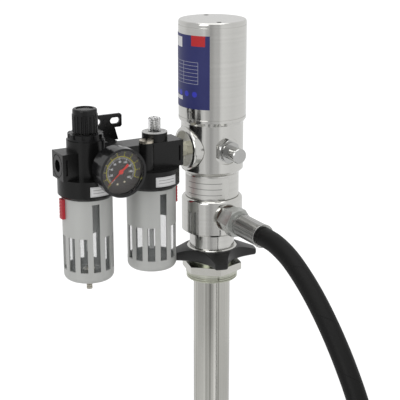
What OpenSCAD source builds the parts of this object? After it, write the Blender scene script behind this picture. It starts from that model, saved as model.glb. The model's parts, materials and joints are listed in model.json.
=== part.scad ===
// Air-operated oil dispensing pump for a drum, with its air filter, regulator,
// lubricator and delivery hose. Millimetres, +Z up. The origin is on the pump's
// axis, where the underside of the bung adaptor's hexagon meets the drum lid.
// The air inlet points along -X, the silencer and the oil outlet along -Y.

/* [Air motor] */
// Outside diameter of the polished air cylinder
barrel_d = 75; // [73:0.5:80]
// Diameter of the air piston's bore
barrel_bore_d = 67; // [60:0.5:68]
// Length of the air cylinder up to its cap
barrel_h = 107.5; // [105:0.5:140]
// Height of the cap above the cylinder
cap_h = 5.6; // [4:0.1:10]
// Travel of the air piston
stroke = 75; // [20:1:75]
// Diameter of the motor body below the cylinder
motor_d = 69.6; // [68.5:0.1:72]
// Height of the motor body
motor_h = 57.6; // [57:0.1:70]
// Diameter of the round air inlet boss
inlet_boss_d = 49; // [45:0.5:50]
// Diameter of the dish sunk into the inlet boss
inlet_dish_d = 40; // [34:0.5:41]
// Diameter of the silencer tube
silencer_d = 15.2; // [12:0.1:16]
// How far the silencer stands out of the motor body
silencer_out = 25.6; // [22:0.1:40]

/* [Neck and outlet] */
// Diameter of the neck sleeve
neck_d = 60.4; // [54:0.1:62]
// Height of the neck sleeve
neck_h = 27.5; // [26:0.1:40]
// Diameter of the outlet body
outlet_d = 68.8; // [66:0.1:72]
// Height of the outlet body
outlet_h = 42.8; // [42:0.1:60]
// Diameter of the collar that holds the suction tube
collar_d = 51; // [46:0.5:56]
// Height of that collar
collar_h = 16.6; // [12:0.1:25]

/* [Drum fitting] */
// Outside diameter of the bung thread
bung_thread_d = 59.6; // [59:0.1:60]
// Length of the bung thread
bung_thread_h = 10; // [8:0.5:20]
// Width across the flats of the bung adaptor
bung_flats = 60; // [58:0.5:66]
// Thickness of the bung adaptor's hexagon
bung_hex_h = 8.9; // [8:0.1:14]
// Reach of the star nut's arms from the axis
star_reach = 51.2; // [48:0.1:54]
// Width of an arm's tip
star_tip_w = 16.4; // [12:0.1:20]
// Number of arms on the star nut
star_arms = 4; // [3:1:6]

/* [Suction tube] */
// Outside diameter of the suction tube
tube_d = 42; // [40:0.5:43]
// Bore of the suction tube, in which the plunger runs
tube_bore_d = 38.5; // [36:0.5:39]
// Distance from the drum lid down to the foot
foot_depth = 850; // [500:10:900]
// Diameter of the piston rod
rod_d = 16; // [12:0.5:18]

/* [Filter, regulator and lubricator] */
// Distance from the pump's axis to the lubricator's axis
lub_reach = 77.2; // [77:0.1:90]
// Distance between the axes of the two air units
unit_pitch = 76.8; // [76:0.1:90]
// Width of each unit's block
block_w = 65.3; // [64:0.1:66]
// Depth of each unit's block
block_d = 28.6; // [26:0.1:34]
// Height of each unit's block
block_h = 28.8; // [27:0.1:34]
// How far the collar round the top of each bowl stands out over its guard
collar_over_guard = 4; // [3.6:0.1:5]
// Height of that collar
bowl_collar_h = 21.3; // [20:0.1:26]
// Diameter of the metal bowl guards
guard_d = 54.6; // [52:0.1:56]
// Length of the guard below the collar
guard_h = 93.9; // [92:0.1:120]
// Number of slots round each guard
guard_slots = 12; // [8:1:14]
// Diameter of the regulator's round bonnet
bonnet_d = 41; // [38:0.5:46]
// Diameter of the pressure knob
knob_d = 27.4; // [24:0.1:30]
// Height of the pressure knob
knob_h = 24.7; // [20:0.1:32]
// Wall diameter of the threaded air ports
port_d = 13.2; // [12:0.1:14]
// Outside diameter of the pressure gauge
gauge_d = 52; // [46:0.5:54]

/* [Delivery hose] */
// Outside diameter of the hose
hose_d = 21; // [20:0.5:21.3]
// Diameter of the crimped ferrule
ferrule_d = 25.4; // [23.2:0.1:26]
// Length of the crimped ferrule
ferrule_h = 41.4; // [36:0.1:44]

/* [Hidden] */
$fn = 72;

// Clearances and general small sizes
overrun = 1;          // how far every cut runs past the face it opens
run_gap = 0.3;        // between curved faces that move against each other
fit_gap = 0.06;       // radial clearance of a running fit, or of a spigot in its socket
groove_w = 1;         // width and depth of the fine turned grooves
groove_t = 0.8;
small_chamfer = 0.8;  // broken edges of nuts and rings
hex_to_round_share = 1 / cos(30);

// Heights of the pump, from the drum lid upwards
bung_top_z = bung_hex_h;
star_gap = 4.5;
star_z = bung_top_z + star_gap;
star_h = 14.4;
star_top_z = star_z + star_h;
ring_above = 1.1;
ring_top_z = star_top_z + ring_above;
ring_to_collar = 0.3;
collar_z = ring_top_z + ring_to_collar;
outlet_z = collar_z + collar_h;
neck_z = outlet_z + outlet_h;
motor_z = neck_z + neck_h;
barrel_z = motor_z + motor_h;
cap_z = barrel_z + barrel_h;
outlet_port_up = 23.5;
outlet_port_z = outlet_z + outlet_port_up;
motor_port_z = motor_z + motor_h / 2 + small_chamfer;

// Radii used again and again
barrel_r = barrel_d / 2;
bore_r = barrel_bore_d / 2;
motor_r = motor_d / 2;
neck_r = neck_d / 2;
outlet_r = outlet_d / 2;
tube_r = tube_d / 2;
tube_bore_r = tube_bore_d / 2;
rod_r = rod_d / 2;
hose_r = hose_d / 2;

// Air motor
barrel_chamfer_h = 4;
barrel_groove_up = 7;
cap_round = 3.2;
cap_flat_in = 1.6;
cap_wall = 4;
spigot_h = 8;
spanner_hole_d = 5.5;
spanner_hole_r = 28.5;
spanner_hole_depth = 4;
spanner_angle = 74.5;
piston_h = 14;
piston_rest_gap = 1.5;
piston_z = barrel_z + spigot_h + piston_rest_gap;
piston_stud_d = 12;
seal_h = 5;
seal_t = 4;
seal_gap = 0.1;
motor_chamfer = 4.6;
rod_hole_gap = 1;
spool_d = 11;
spool_h = 22;
spool_throw = 7;
spool_off = 21;
spool_hole_h = 32;
air_way_d = 10;
inlet_face_x = 36;
inlet_round = 3;
inlet_dish_depth = 9.5;
inlet_dish_lip = 2.2;
inlet_hex_flats = 14;
inlet_hex_w = 8.4;
inlet_thread_in = 9;
block_end_gap = 0.3;
silencer_face_d = 31;
silencer_face_t = 2.6;
silencer_hex_flats = 24;
silencer_hex_h = 6.2;
silencer_hex_bevel = 1.6;
silencer_shoulder_d = 22;
silencer_shoulder_h = 3.8;
silencer_cap_d = 16.6;
silencer_cap_h = 3.2;
silencer_wall = 2;
silencer_spigot_d = 13;
silencer_spigot_in = motor_r - silencer_face_t - spool_off - spool_d / 2 - run_gap;

// Neck, gland, outlet and collar
neck_wall = 5;
gland_flats = 32;
gland_h = 12;
outlet_round = 4.2;
outlet_chamfer_w = 4.8;
outlet_chamfer_h = 3.4;
outlet_chamber_d = 36;
outlet_roof = 9;
outlet_way_d = 14;
outlet_boss_d = 31;
outlet_boss_h = 1.8;
adaptor_flats = 26;
adaptor_hex_h = 8.6;
adaptor_neck_d = 21;
adaptor_neck_h = 1.2;
swivel_flats = 29;
swivel_h = 14.4;
swivel_bore_h = 8.2;
swivel_skirt_d = 25;
swivel_skirt_h = 7;
hose_bore_d = 12.7;
tail_lip_h = 1.2;
ferrule_rim = 0.3;
ferrule_rim_h = 2;
ferrule_to_y = outlet_r + outlet_boss_h + adaptor_hex_h + adaptor_neck_h + swivel_h
    + swivel_skirt_h + tail_lip_h;
hose_from_y = ferrule_to_y + ferrule_h;
end_thread_d = 18.6;

// Star nut and bung adaptor
star_angle = -107;
star_hub_r = 31;
star_tip_h = 7.2;
star_tip_round = 2.5;
star_waist_r = 30;
star_facets = 48;
ring_d = 56.9;
ring_t = 3.2;
ring_bevel = 1;
seal_ring_h = 5;
collet_d = 50;
collet_h = 11;
hex_angle = -102;
hex_bevel = 1.2;
thread_pitch = 2.309;
thread_crest_in = 0.6;
thread_depth = 1.3;
thread_plain_h = 3;
thread_slit_w = 1.2;
thread_slit_angle = -104;

// Lower pump
tube_foot_up = 50;
tube_foot_z = -foot_depth + tube_foot_up;
foot_d = 45;
foot_seat_d = 17;
foot_ball_d = 20;
foot_ball_lift = 6;
foot_chamber_d = 27;
foot_floor = 8;
foot_spigot_h = 14;
foot_pin_d = 3;
strainer_h = 18;
strainer_wall = 1.6;
strainer_slots = 16;
strainer_slot_w = 2.4;
foot_body_h = tube_foot_up - strainer_h;
foot_seat_z = tube_foot_z - foot_body_h + foot_floor;
plunger_h = 36;
plunger_z = tube_foot_z + foot_spigot_h + foot_floor;
plunger_ball_d = 13;
plunger_seat_d = 10;
plunger_chamber_d = 18;
plunger_floor = 6;
plunger_lift = 4;
plunger_windows = 4;
plunger_window_w = 7;
rod_stud_h = 6;

// Air units
frl_z = motor_port_z - block_h / 2;
block_top_z = frl_z + block_h;
collar_low_z = frl_z - bowl_collar_h;
guard_z = collar_low_z - guard_h;
guard_in_collar = 13;
guard_wall = 1.6;
guard_round = 6.5;
guard_slot_w = 8.2;
guard_slot_low = 13.3;
guard_slot_h = 38.3;
guard_long_slot_h = 76.1;
filter_guard_angle = -94.2;
lub_guard_angle = -87.4;
bowl_collar_d = guard_d + 2 * collar_over_guard;
lub_x = -lub_reach;
filter_x = lub_x - unit_pitch;
bonnet_up = 11.1;
bonnet_top_z = block_top_z + bonnet_up;
bonnet_nut_d = 38;
bonnet_nut_h = 7;
bonnet_nut_notches = 12;
notch_w = 3.2;
notch_t = 1.4;
bonnet_neck_d = 30;
knob_up = 1.2;
knob_wall = 2.4;
knob_lift = 4;
knob_flutes = 20;
knob_flute_d = 2.4;
knob_band_h = 6;
knob_band_in = 0.6;
knob_top_round = 2;
knob_recess_d = 19;
knob_recess_h = 1;
spindle_d = 9;
spring_d = 22;
spring_h = 9;
chamber_d = 33;
diaphragm_h = 2;
poppet_d = 6;
poppet_h = 16;
recess_d = 25;
recess_t = 1;
port_depth = 14;
slot_mark_w = 2.2;
slot_mark_t = 2;
slot_mark_h = 17;
slot_mark_in = 4.4;
dash_w = 1;
dash_h = 5;
bowl_wall = 2;
bowl_gap = 0.8;
bowl_top_gap = 1.5;
collar_wall = bowl_collar_d / 2 - guard_d / 2 - run_gap;
collar_chamfer = 3;
element_d = 24;
element_tip_share = 0.75;
element_h = 42;
baffle_d = 38;
baffle_h = 6;
baffle_rod_d = 4;
baffle_rod_h = 22;
drain_d = 6.4;
drain_out = 13.3;
drain_grooves = 3;
drain_groove_step = 2.4;
drain_in = 13;
drain_push = 3;
drain_head_d = 13;
drain_head_h = 5;
latch_w = 8;
latch_h = 21.8;
latch_t = 3.7;
latch_down = 1;
latch_throw = 3;
latch_ribs = 5;
latch_rib_t = 0.6;
gauge_off = 15;
gauge_dial_y = -53.6;
gauge_case_h = 15;
gauge_case_in = 1.5;
gauge_bezel_h = 10.5;
gauge_bezel_t = 2.6;
gauge_boss_w = 22;
gauge_boss_round = 5;
gauge_stem_d = 12;
gauge_back_y = -36;
dial_t = 0.8;
lens_t = 1.4;
lens_gap = 3.2;
needle_reach = 20.2;
needle_tail = 10.8;
needle_w = 1.4;
needle_hub_d = 5;
needle_t = 0.5;
needle_up = 0.6;
needle_angle = -50;
bracket_t = 3;
bracket_back_y = 32;
bracket_ear_w = 39;
bracket_ear_h = 15;
bracket_ear_up = 11;
bracket_ear_low_z = block_top_z + bracket_ear_up;
bracket_stem_w = 22;
bracket_foot_w = 30;
bracket_slot_w = 7;
bracket_slot_l = 11.4;
bracket_slot_pitch = 22.6;
bracket_corner = 2.5;
bracket_ring_d = 7;
bracket_ring_t = 0.5;
plug_off_x = 12.2;
plug_boss_d = 16.4;
plug_d = 15.6;
plug_boss_up = 2.2;
plug_head_h = 2.6;
plug_thread_d = 11;
plug_thread_h = 8;
plug_slot_w = 2;
plug_slot_t = 1.4;
plug_boss_low = 2;
dome_off_x = 5;
sight_collar_d = 28;
sight_collar_h = 9.7;
dome_d = 13.6;
dome_slot_w = 2;
dome_slot_t = 0.9;
dome_h = 15.6;
dome_wall = 1.6;
dome_round = 2.5;
drip_d = 5;
pickup_d = 5;
pickup_h = 88;

// Blank labels
label_t = 0.3;
label_gap = 0.02;
barrel_label_h = 80;
barrel_label_up = 19.4;
barrel_label_angle = 99;
barrel_label_arc_angle = 137;
neck_label_up = 2;
neck_label_h = 23.5;
neck_label_angle = 167;
neck_label_arc_angle = 110;
unit_label_h = 10.6;
unit_label_up = 5.5;
unit_label_angle = 253;
unit_label_arc_angle = 47;

// Hose route: places along the free stretch, chosen by hand, in mm
hose_sides = 12;
hose_route = [[0, -110, 69.3], [0, -134, 68], [0, -160, 61], [0, -184, 49], [0, -207, 34],
    [0, -228, 17], [0, -248, -2], [0, -266, -22], [0, -283, -44], [0, -298, -68], [0, -311, -94],
    [0, -322, -122], [0, -331, -152], [0, -338, -185], [0, -342, -220], [0, -344, -260],
    [0, -345, -305], [0, -345, -355], [0, -345, -405], [0, -345, -455], [0, -345, -505],
    [0, -345, -555], [0, -345, -605], [0, -345, -655], [0, -345, -700], [-1, -345, -732],
    [-6, -345, -760], [-18, -345, -787], [-36, -345, -810], [-60, -345, -828],
    [-90, -345, -837], [-115, -345, -838.5]];

// Hose coil: a flat spiral inward, a climb, and a spiral outward on top of it
coil_sides = 6;
coil_rings = 24;
coil_step = 22;
coil_out_r = 148;
coil_low_turns = 2;
coil_climb_turns = 0.5;
coil_high_turns = 1.5;
coil_end_rise = 2.4;
coil_start = hose_route[len(hose_route) - 1];
coil_centre = [coil_start[0] - hose_d, coil_start[1] + coil_out_r, coil_start[2]];
coil_turns = coil_low_turns + coil_climb_turns + coil_high_turns;
coil_mid = coil_low_turns + coil_climb_turns / 2;
function coil_r(t) = coil_out_r - coil_step * (t < coil_mid ? t : 2 * coil_mid - t);
function climb_share(t) = let (u = min(1, max(0, (t - coil_low_turns) / coil_climb_turns)))
    u * u * (3 - 2 * u);
function coil_at(t) = [coil_centre[0] + coil_r(t) * cos(-90 - 360 * t),
    coil_centre[1] + coil_r(t) * sin(-90 - 360 * t), coil_centre[2] + coil_step * climb_share(t)];
coil_last = coil_at(coil_turns);
coil_line = concat([coil_start],
    [for (i = [0 : coil_turns * coil_rings]) coil_at(i / coil_rings)],
    [coil_last + [-hose_d, 0, coil_end_rise], coil_last + [-2 * hose_d, 0, coil_end_rise]]);
coil_end = coil_line[len(coil_line) - 1];

// Length of a line of points, and the least distance between two turns of it
function line_length(p, i = 0) = i + 1 >= len(p) ? 0 : norm(p[i + 1] - p[i]) + line_length(p, i + 1);
coil_apart = min([for (i = [0 : len(coil_line) - 1], j = [0 : len(coil_line) - 1])
    if (j - i > coil_rings / 2) norm(coil_line[i] - coil_line[j])]);
echo(hose_length = line_length(hose_route) + line_length(coil_line));
echo(coil_gap_to_itself = coil_apart - hose_d);

// A tube swept along points: each ring stands square to the way through it
function way(p, i) = let (a = p[max(0, i - 1)], b = p[min(len(p) - 1, i + 1)]) (b - a) / norm(b - a);
function side_of(d, up) = let (s = cross(d, up)) s / norm(s);
function ring_at(p, r, sides, d, up) = let (s = side_of(d, up), u = cross(s, d))
    [for (k = [0 : sides - 1]) p + r * (cos(360 * k / sides) * s + sin(360 * k / sides) * u)];
module swept(p, r, sides, up, first, last) {
    n = len(p);
    rings = [for (i = [0 : n - 1])
        each ring_at(p[i], r, sides, i == 0 ? first : i == n - 1 ? last : way(p, i), up)];
    walls = [for (i = [0 : n - 2], k = [0 : sides - 1]) let (m = (k + 1) % sides)
        each [[i * sides + k, i * sides + m, (i + 1) * sides + m],
            [i * sides + k, (i + 1) * sides + m, (i + 1) * sides + k]]];
    start_cap = [for (k = [1 : sides - 2]) [0, k + 1, k]];
    end_cap = [for (k = [1 : sides - 2]) (n - 1) * sides * [1, 1, 1] + [0, k, k + 1]];
    polyhedron(points = rings, faces = concat(walls, start_cap, end_cap), convexity = 10);
}

// Small shared shapes
module ring(r_out, r_in, h) {
    difference() {
        cylinder(r = r_out, h = h);
        translate([0, 0, -overrun]) cylinder(r = r_in, h = h + 2 * overrun);
    }
}
module hex(flats, h) cylinder(r = flats / 2 * hex_to_round_share, h = h, $fn = 6);
module hex_nut(flats, h, bevel) {
    intersection() {
        hex(flats, h);
        rotate_extrude() polygon([[0, 0], [flats / 2, 0], [flats / 2 * hex_to_round_share, bevel],
            [flats / 2 * hex_to_round_share, h - bevel], [flats / 2, h], [0, h]]);
    }
}
module to_minus_x(x, z) translate([x, 0, z]) rotate([0, -90, 0]) children();
module to_minus_y(y, z) translate([0, y, z]) rotate([90, 0, 0]) children();
function arc(cx, cy, rx, ry, from, to, steps) =
    [for (i = [0 : steps]) let (a = from + (to - from) * i / steps) [cx + rx * cos(a), cy + ry * sin(a)]];
module around(count, turn = 0) for (i = [0 : count - 1]) rotate(turn + 360 * i / count) children();
module skin(r, h, from_angle, arc_angle) rotate(from_angle)
    rotate_extrude(angle = arc_angle) translate([r + label_gap, 0]) square([label_t, h]);

// Air motor

module air_cylinder() color("gainsboro") translate([0, 0, barrel_z])
    rotate_extrude() difference() {
        polygon([[bore_r, 0], [motor_r, 0], [barrel_r, barrel_chamfer_h], [barrel_r, barrel_h],
            [bore_r, barrel_h]]);
        translate([barrel_r - groove_t, barrel_groove_up]) square([groove_t + overrun, groove_w]);
    }

module cylinder_cap() color("gainsboro") translate([0, 0, cap_z]) difference() {
    rotate_extrude() polygon(concat([[0, -spigot_h + cap_wall], [bore_r - cap_wall, -spigot_h + cap_wall],
        [bore_r - cap_wall, -spigot_h], [bore_r - fit_gap, -spigot_h], [bore_r - fit_gap, 0],
        [barrel_r - groove_t, 0],
        [barrel_r - groove_t, groove_w], [barrel_r, groove_w]],
        arc(barrel_r - cap_flat_in, cap_h - cap_round, cap_flat_in, cap_round, 0, 90, 6), [[0, cap_h]]));
    for (s = [0, 1]) rotate(spanner_angle + 180 * s)
        translate([spanner_hole_r, 0, cap_h - spanner_hole_depth])
            cylinder(d = spanner_hole_d, h = spanner_hole_depth + overrun);
}

module air_piston() color("silver") translate([0, 0, piston_z]) difference() {
    cylinder(r = bore_r - run_gap, h = piston_h);
    translate([0, 0, -overrun]) cylinder(d = piston_stud_d, h = piston_h + 2 * overrun);
    translate([0, 0, (piston_h - seal_h) / 2]) ring(bore_r, bore_r - seal_t, seal_h);
}

module piston_seal() color("black") translate([0, 0, piston_z + (piston_h - seal_h) / 2])
    ring(bore_r - seal_gap, bore_r - seal_t + fit_gap, seal_h);

module piston_rod() color("silver") {
    translate([0, 0, plunger_z + plunger_h]) cylinder(r = rod_r, h = piston_z - plunger_z - plunger_h);
    translate([0, 0, piston_z]) cylinder(d = piston_stud_d - 2 * fit_gap, h = piston_h);
    translate([0, 0, plunger_z + plunger_h - rod_stud_h])
        cylinder(d = piston_stud_d - 2 * fit_gap, h = rod_stud_h);
}

module valve_spool() color("silver") translate([0, -spool_off, motor_port_z - spool_hole_h / 2])
    for (i = [0 : 2]) {
        translate([0, 0, i * spool_h * 3 / 8]) cylinder(d = spool_d - 2 * run_gap, h = spool_h / 4);
        if (i < 2) translate([0, 0, i * spool_h * 3 / 8 + spool_h / 4])
            cylinder(d = spool_d / 2, h = spool_h / 8);
    }

module motor_body() color("gainsboro") difference() {
    union() {
        translate([0, 0, motor_z]) rotate_extrude() polygon([[0, 0], [motor_r - motor_chamfer, 0],
            [motor_r, motor_chamfer], [motor_r, motor_h], [bore_r - fit_gap, motor_h],
            [bore_r - fit_gap, motor_h + spigot_h], [0, motor_h + spigot_h]]);
        to_minus_x(0, motor_port_z) rotate_extrude() polygon(concat([[0, 0], [inlet_boss_d / 2, 0]],
            arc(inlet_boss_d / 2 - inlet_round, inlet_face_x - inlet_round, inlet_round, inlet_round, 0, 90, 6),
            [[0, inlet_face_x]]));
    }
    translate([0, 0, motor_z - overrun])
        cylinder(r = rod_r + rod_hole_gap, h = motor_h + spigot_h + 2 * overrun);
    to_minus_x(-inlet_face_x + inlet_dish_depth, motor_port_z)
        cylinder(d = inlet_dish_d, h = inlet_dish_depth + overrun);
    to_minus_x(-rod_r - 2 * rod_hole_gap, motor_port_z) cylinder(d = air_way_d, h = inlet_face_x);
    intersection() {
        to_minus_x(0, motor_port_z) ring(inlet_boss_d / 2 + groove_w, inlet_boss_d / 2, motor_r + overrun);
        translate([0, 0, motor_z]) ring(motor_r + overrun, motor_r - groove_t, motor_h);
    }
    translate([0, -spool_off, motor_port_z - spool_hole_h / 2]) cylinder(d = spool_d, h = spool_hole_h);
    to_minus_y(-spool_off, motor_port_z) cylinder(d = silencer_spigot_d, h = motor_r);
    to_minus_y(-silencer_face_y, motor_port_z) cylinder(d = silencer_face_d, h = motor_r);
}
silencer_face_y = motor_r - silencer_face_t;

module inlet_nipple() color("darkkhaki") to_minus_x(-inlet_face_x + inlet_dish_depth, motor_port_z)
    difference() {
        union() {
            translate([0, 0, -inlet_thread_in]) cylinder(d = air_way_d - 2 * fit_gap, h = inlet_thread_in);
            hex_nut(inlet_hex_flats, inlet_hex_w, small_chamfer);
        }
        translate([0, 0, -inlet_thread_in - overrun])
            cylinder(d = air_way_d / 2, h = inlet_thread_in + inlet_hex_w + 2 * overrun);
    }

inlet_union_from = inlet_face_x - inlet_dish_depth + inlet_hex_w;
lub_port_x = lub_x + block_w / 2;
inlet_union_w = -lub_port_x - inlet_union_from;
module inlet_union_nut() color("darkkhaki") to_minus_x(-inlet_union_from, motor_port_z) difference() {
    union() {
        rotate(30) hex_nut(inlet_hex_flats, inlet_union_w, small_chamfer);
        cylinder(d = port_d - 2 * fit_gap, h = inlet_union_w + port_depth - overrun);
    }
    translate([0, 0, -overrun]) cylinder(d = air_way_d / 2, h = inlet_union_w + port_depth + overrun);
}

silencer_nut_h = silencer_hex_h + silencer_shoulder_h;
module silencer_nut() color("lightgray") to_minus_y(-silencer_face_y, motor_port_z) difference() {
    union() {
        rotate(30) hex_nut(silencer_hex_flats, silencer_hex_h, silencer_hex_bevel);
        cylinder(d = silencer_shoulder_d, h = silencer_nut_h);
        translate([0, 0, -silencer_spigot_in])
            cylinder(d = silencer_spigot_d - 2 * fit_gap, h = silencer_spigot_in);
    }
    translate([0, 0, -silencer_spigot_in - overrun])
        cylinder(d = silencer_spigot_d - 2 * silencer_wall,
            h = silencer_spigot_in + silencer_nut_h + 2 * overrun);
}

silencer_tube_y = silencer_face_y + silencer_nut_h;
silencer_tube_h = motor_r + silencer_out - silencer_cap_h - silencer_tube_y;
module silencer_tube() color("darkgray") to_minus_y(-silencer_tube_y, motor_port_z) difference() {
    ring(silencer_d / 2, silencer_d / 2 - silencer_wall, silencer_tube_h);
    translate([0, 0, silencer_tube_h - groove_w])
        ring(silencer_d, silencer_d / 2 - groove_t, groove_w + overrun);
}

module silencer_cap() color("lightgray")
    to_minus_y(-motor_r - silencer_out + silencer_cap_h, motor_port_z) rotate_extrude()
        polygon([[0, 0], [silencer_cap_d / 2 - small_chamfer / 2, 0], [silencer_cap_d / 2, small_chamfer / 2],
            [silencer_cap_d / 2, silencer_cap_h - small_chamfer],
            [silencer_cap_d / 2 - small_chamfer, silencer_cap_h], [0, silencer_cap_h]]);

// Neck, gland and outlet

module neck_sleeve() color("lightgray") translate([0, 0, neck_z]) ring(neck_r, neck_r - neck_wall, neck_h);

module rod_gland() color("goldenrod") translate([0, 0, neck_z]) difference() {
    hex_nut(gland_flats, gland_h, small_chamfer);
    translate([0, 0, -overrun]) cylinder(r = rod_r + fit_gap, h = gland_h + 2 * overrun);
}

module outlet_body() color("gainsboro") difference() {
    union() {
        translate([0, 0, outlet_z]) rotate_extrude() polygon(concat([[0, 0], [outlet_r - outlet_chamfer_w, 0],
            [outlet_r, outlet_chamfer_h]],
            arc(outlet_r - outlet_round, outlet_h - outlet_round, outlet_round, outlet_round, 0, 90, 8),
            [[0, outlet_h]]));
        to_minus_y(0, outlet_port_z) cylinder(d = outlet_boss_d, h = outlet_r + outlet_boss_h);
    }
    translate([0, 0, outlet_z - overrun])
        cylinder(d = outlet_chamber_d, h = outlet_h - outlet_roof + overrun);
    translate([0, 0, outlet_z]) cylinder(r = rod_r + rod_hole_gap, h = outlet_h + overrun);
    to_minus_y(0, outlet_port_z) cylinder(d = outlet_way_d, h = outlet_r + outlet_boss_h + overrun);
    translate([0, 0, neck_z - groove_t]) ring(neck_r + groove_w, neck_r, groove_t + overrun);
}

adaptor_y = outlet_r + outlet_boss_h;
module outlet_adaptor() color("lightgray") to_minus_y(-adaptor_y, outlet_port_z) difference() {
    union() {
        translate([0, 0, -outlet_boss_h - motor_chamfer])
            cylinder(d = outlet_way_d - 2 * fit_gap, h = outlet_boss_h + motor_chamfer);
        hex_nut(adaptor_flats, adaptor_hex_h, small_chamfer);
        translate([0, 0, adaptor_hex_h]) cylinder(d = adaptor_neck_d, h = adaptor_neck_h);
        translate([0, 0, adaptor_hex_h + adaptor_neck_h])
            cylinder(d = end_thread_d, h = swivel_bore_h - overrun);
    }
    translate([0, 0, -outlet_boss_h - motor_chamfer - overrun])
        cylinder(d = hose_bore_d - 2 * small_chamfer, h = ferrule_to_y);
}

// The hose end fitting is the same at both ends of the hose: a swivel nut on a crimped ferrule.
// Its length runs along +Z here, from the nut's open mouth to the hose.
module swivel_nut_shape() difference() {
    union() {
        hex_nut(swivel_flats, swivel_h, hex_bevel);
        cylinder(d = swivel_skirt_d, h = swivel_nut_h);
    }
    translate([0, 0, -overrun]) cylinder(d = end_thread_d + 2 * run_gap, h = swivel_bore_h + overrun);
    translate([0, 0, -overrun]) cylinder(r = tail_nose_r + run_gap, h = swivel_nut_h + 2 * overrun);
    translate([0, 0, swivel_nut_h - 2 * groove_w])
        ring(swivel_skirt_d, swivel_skirt_d / 2 - groove_t, groove_w);
}
swivel_nut_h = swivel_h + swivel_skirt_h;
tail_nose_r = hose_bore_d / 2 + small_chamfer;
tail_nose_h = swivel_nut_h - swivel_bore_h - overrun;
module ferrule_shape() difference() {
    rotate_extrude() polygon([[0, -tail_nose_h - tail_lip_h], [tail_nose_r, -tail_nose_h - tail_lip_h],
        [tail_nose_r, -tail_lip_h + run_gap], [ferrule_d / 2 - ferrule_rim, -tail_lip_h + run_gap],
        [ferrule_d / 2 - ferrule_rim, 0], [ferrule_d / 2, ferrule_rim],
        [ferrule_d / 2, ferrule_h - ferrule_rim_h],
        [ferrule_d / 2 + ferrule_rim, ferrule_h - ferrule_rim_h], [ferrule_d / 2 + ferrule_rim, ferrule_h],
        [0, ferrule_h]]);
    translate([0, 0, -tail_nose_h - tail_lip_h - overrun])
        cylinder(d = hose_bore_d - 2 * small_chamfer, h = tail_nose_h + ferrule_h);
}

module hose_swivel_nut() color("lightgray")
    to_minus_y(-ferrule_to_y + swivel_nut_h + tail_lip_h, outlet_port_z) swivel_nut_shape();

module hose_ferrule() color("darkgray") to_minus_y(-ferrule_to_y, outlet_port_z) ferrule_shape();

module hose_tube() color([0.15, 0.15, 0.15])
    swept(hose_route, hose_r, hose_sides, [1, 0, -1], [0, -1, 0], [-1, 0, 0]);

module hose_coil() color([0.15, 0.15, 0.15])
    swept(coil_line, hose_r, coil_sides, [0, 0, 1], [-1, 0, 0], [-1, 0, 0]);

module end_ferrule() color("darkgray")
    translate(coil_end - [ferrule_h, 0, 0]) rotate([0, 90, 0]) ferrule_shape();

module end_swivel_nut() color("lightgray")
    translate(coil_end - [ferrule_h + tail_lip_h + swivel_nut_h, 0, 0]) rotate([0, 90, 0])
        swivel_nut_shape();

module tube_collar() color("gainsboro") translate([0, 0, collar_z])
    ring(collar_d / 2, tube_r + fit_gap, collar_h);

// Drum fitting

module star_plan() difference() {
    circle(r = star_reach, $fn = star_facets);
    around(star_arms, star_angle + 180 / star_arms) translate([star_cut_x, 0]) circle(r = star_cut_r);
    circle(r = collet_d / 2 + fit_gap + run_gap);
}
// The cut between two arms is the circle through both tips' corners and the waist
star_corner = [star_reach * cos(180 / star_arms) + star_tip_w / 2 * sin(180 / star_arms),
    star_reach * sin(180 / star_arms) - star_tip_w / 2 * cos(180 / star_arms)];
star_cut_x = (pow(star_corner[0], 2) + pow(star_corner[1], 2) - pow(star_waist_r, 2))
    / (2 * (star_corner[0] - star_waist_r));
star_cut_r = star_cut_x - star_waist_r;

module star_nut() color([0.14, 0.14, 0.14]) translate([0, 0, star_z]) difference() {
    intersection() {
        linear_extrude(height = star_h) star_plan();
        rotate_extrude() polygon([[0, 0], [star_reach - star_tip_round, 0], [star_reach, star_tip_round],
            [star_reach, star_tip_h - star_tip_round], [star_reach - star_tip_round, star_tip_h],
            [star_hub_r, star_h], [0, star_h]]);
    }
    translate([0, 0, star_h + ring_above - ring_t]) cylinder(d = ring_d + 2 * run_gap, h = ring_t + overrun);
}

module thrust_ring() color("lightgray") translate([0, 0, ring_top_z - ring_t + run_gap]) rotate_extrude()
    polygon([[tube_r + run_gap, 0], [ring_d / 2, 0], [ring_d / 2, ring_t - run_gap - ring_bevel],
        [ring_d / 2 - ring_bevel, ring_t - run_gap], [tube_r + run_gap, ring_t - run_gap]]);

module grip_seal() color("black") translate([0, 0, bung_top_z + collet_h])
    ring(collet_d / 2 - run_gap, tube_r + run_gap, ring_top_z - ring_t - bung_top_z - collet_h);

module bung_adaptor() color("lightgray") difference() {
    union() {
        rotate(hex_angle) hex_nut(bung_flats, bung_hex_h, hex_bevel / 2);
        translate([0, 0, bung_top_z]) cylinder(d = collet_d, h = collet_h);
        translate([0, 0, -bung_thread_h]) rotate_extrude() polygon(concat([[0, 0]],
            [for (i = [0 : thread_turns - 1], s = [0, 0.25, 0.5, 0.75])
                [bung_thread_d / 2 - thread_crest_in - (s < 0.5 ? thread_depth : 0),
                    (i + s) * thread_step]],
            [[bung_thread_d / 2 - thread_crest_in - thread_depth, thread_cut_h],
            [bung_thread_d / 2, thread_cut_h], [bung_thread_d / 2, bung_thread_h],
            [0, bung_thread_h]]));
    }
    translate([0, 0, -bung_thread_h - overrun])
        cylinder(r = tube_r + run_gap, h = bung_thread_h + bung_hex_h + collet_h + 2 * overrun);
    rotate(thread_slit_angle) translate([0, -thread_slit_w / 2, -bung_thread_h - overrun])
        cube([bung_thread_d, thread_slit_w, thread_cut_h + overrun]);
}
thread_cut_h = bung_thread_h - thread_plain_h;
thread_turns = floor(thread_cut_h / thread_pitch + 0.5);
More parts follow.
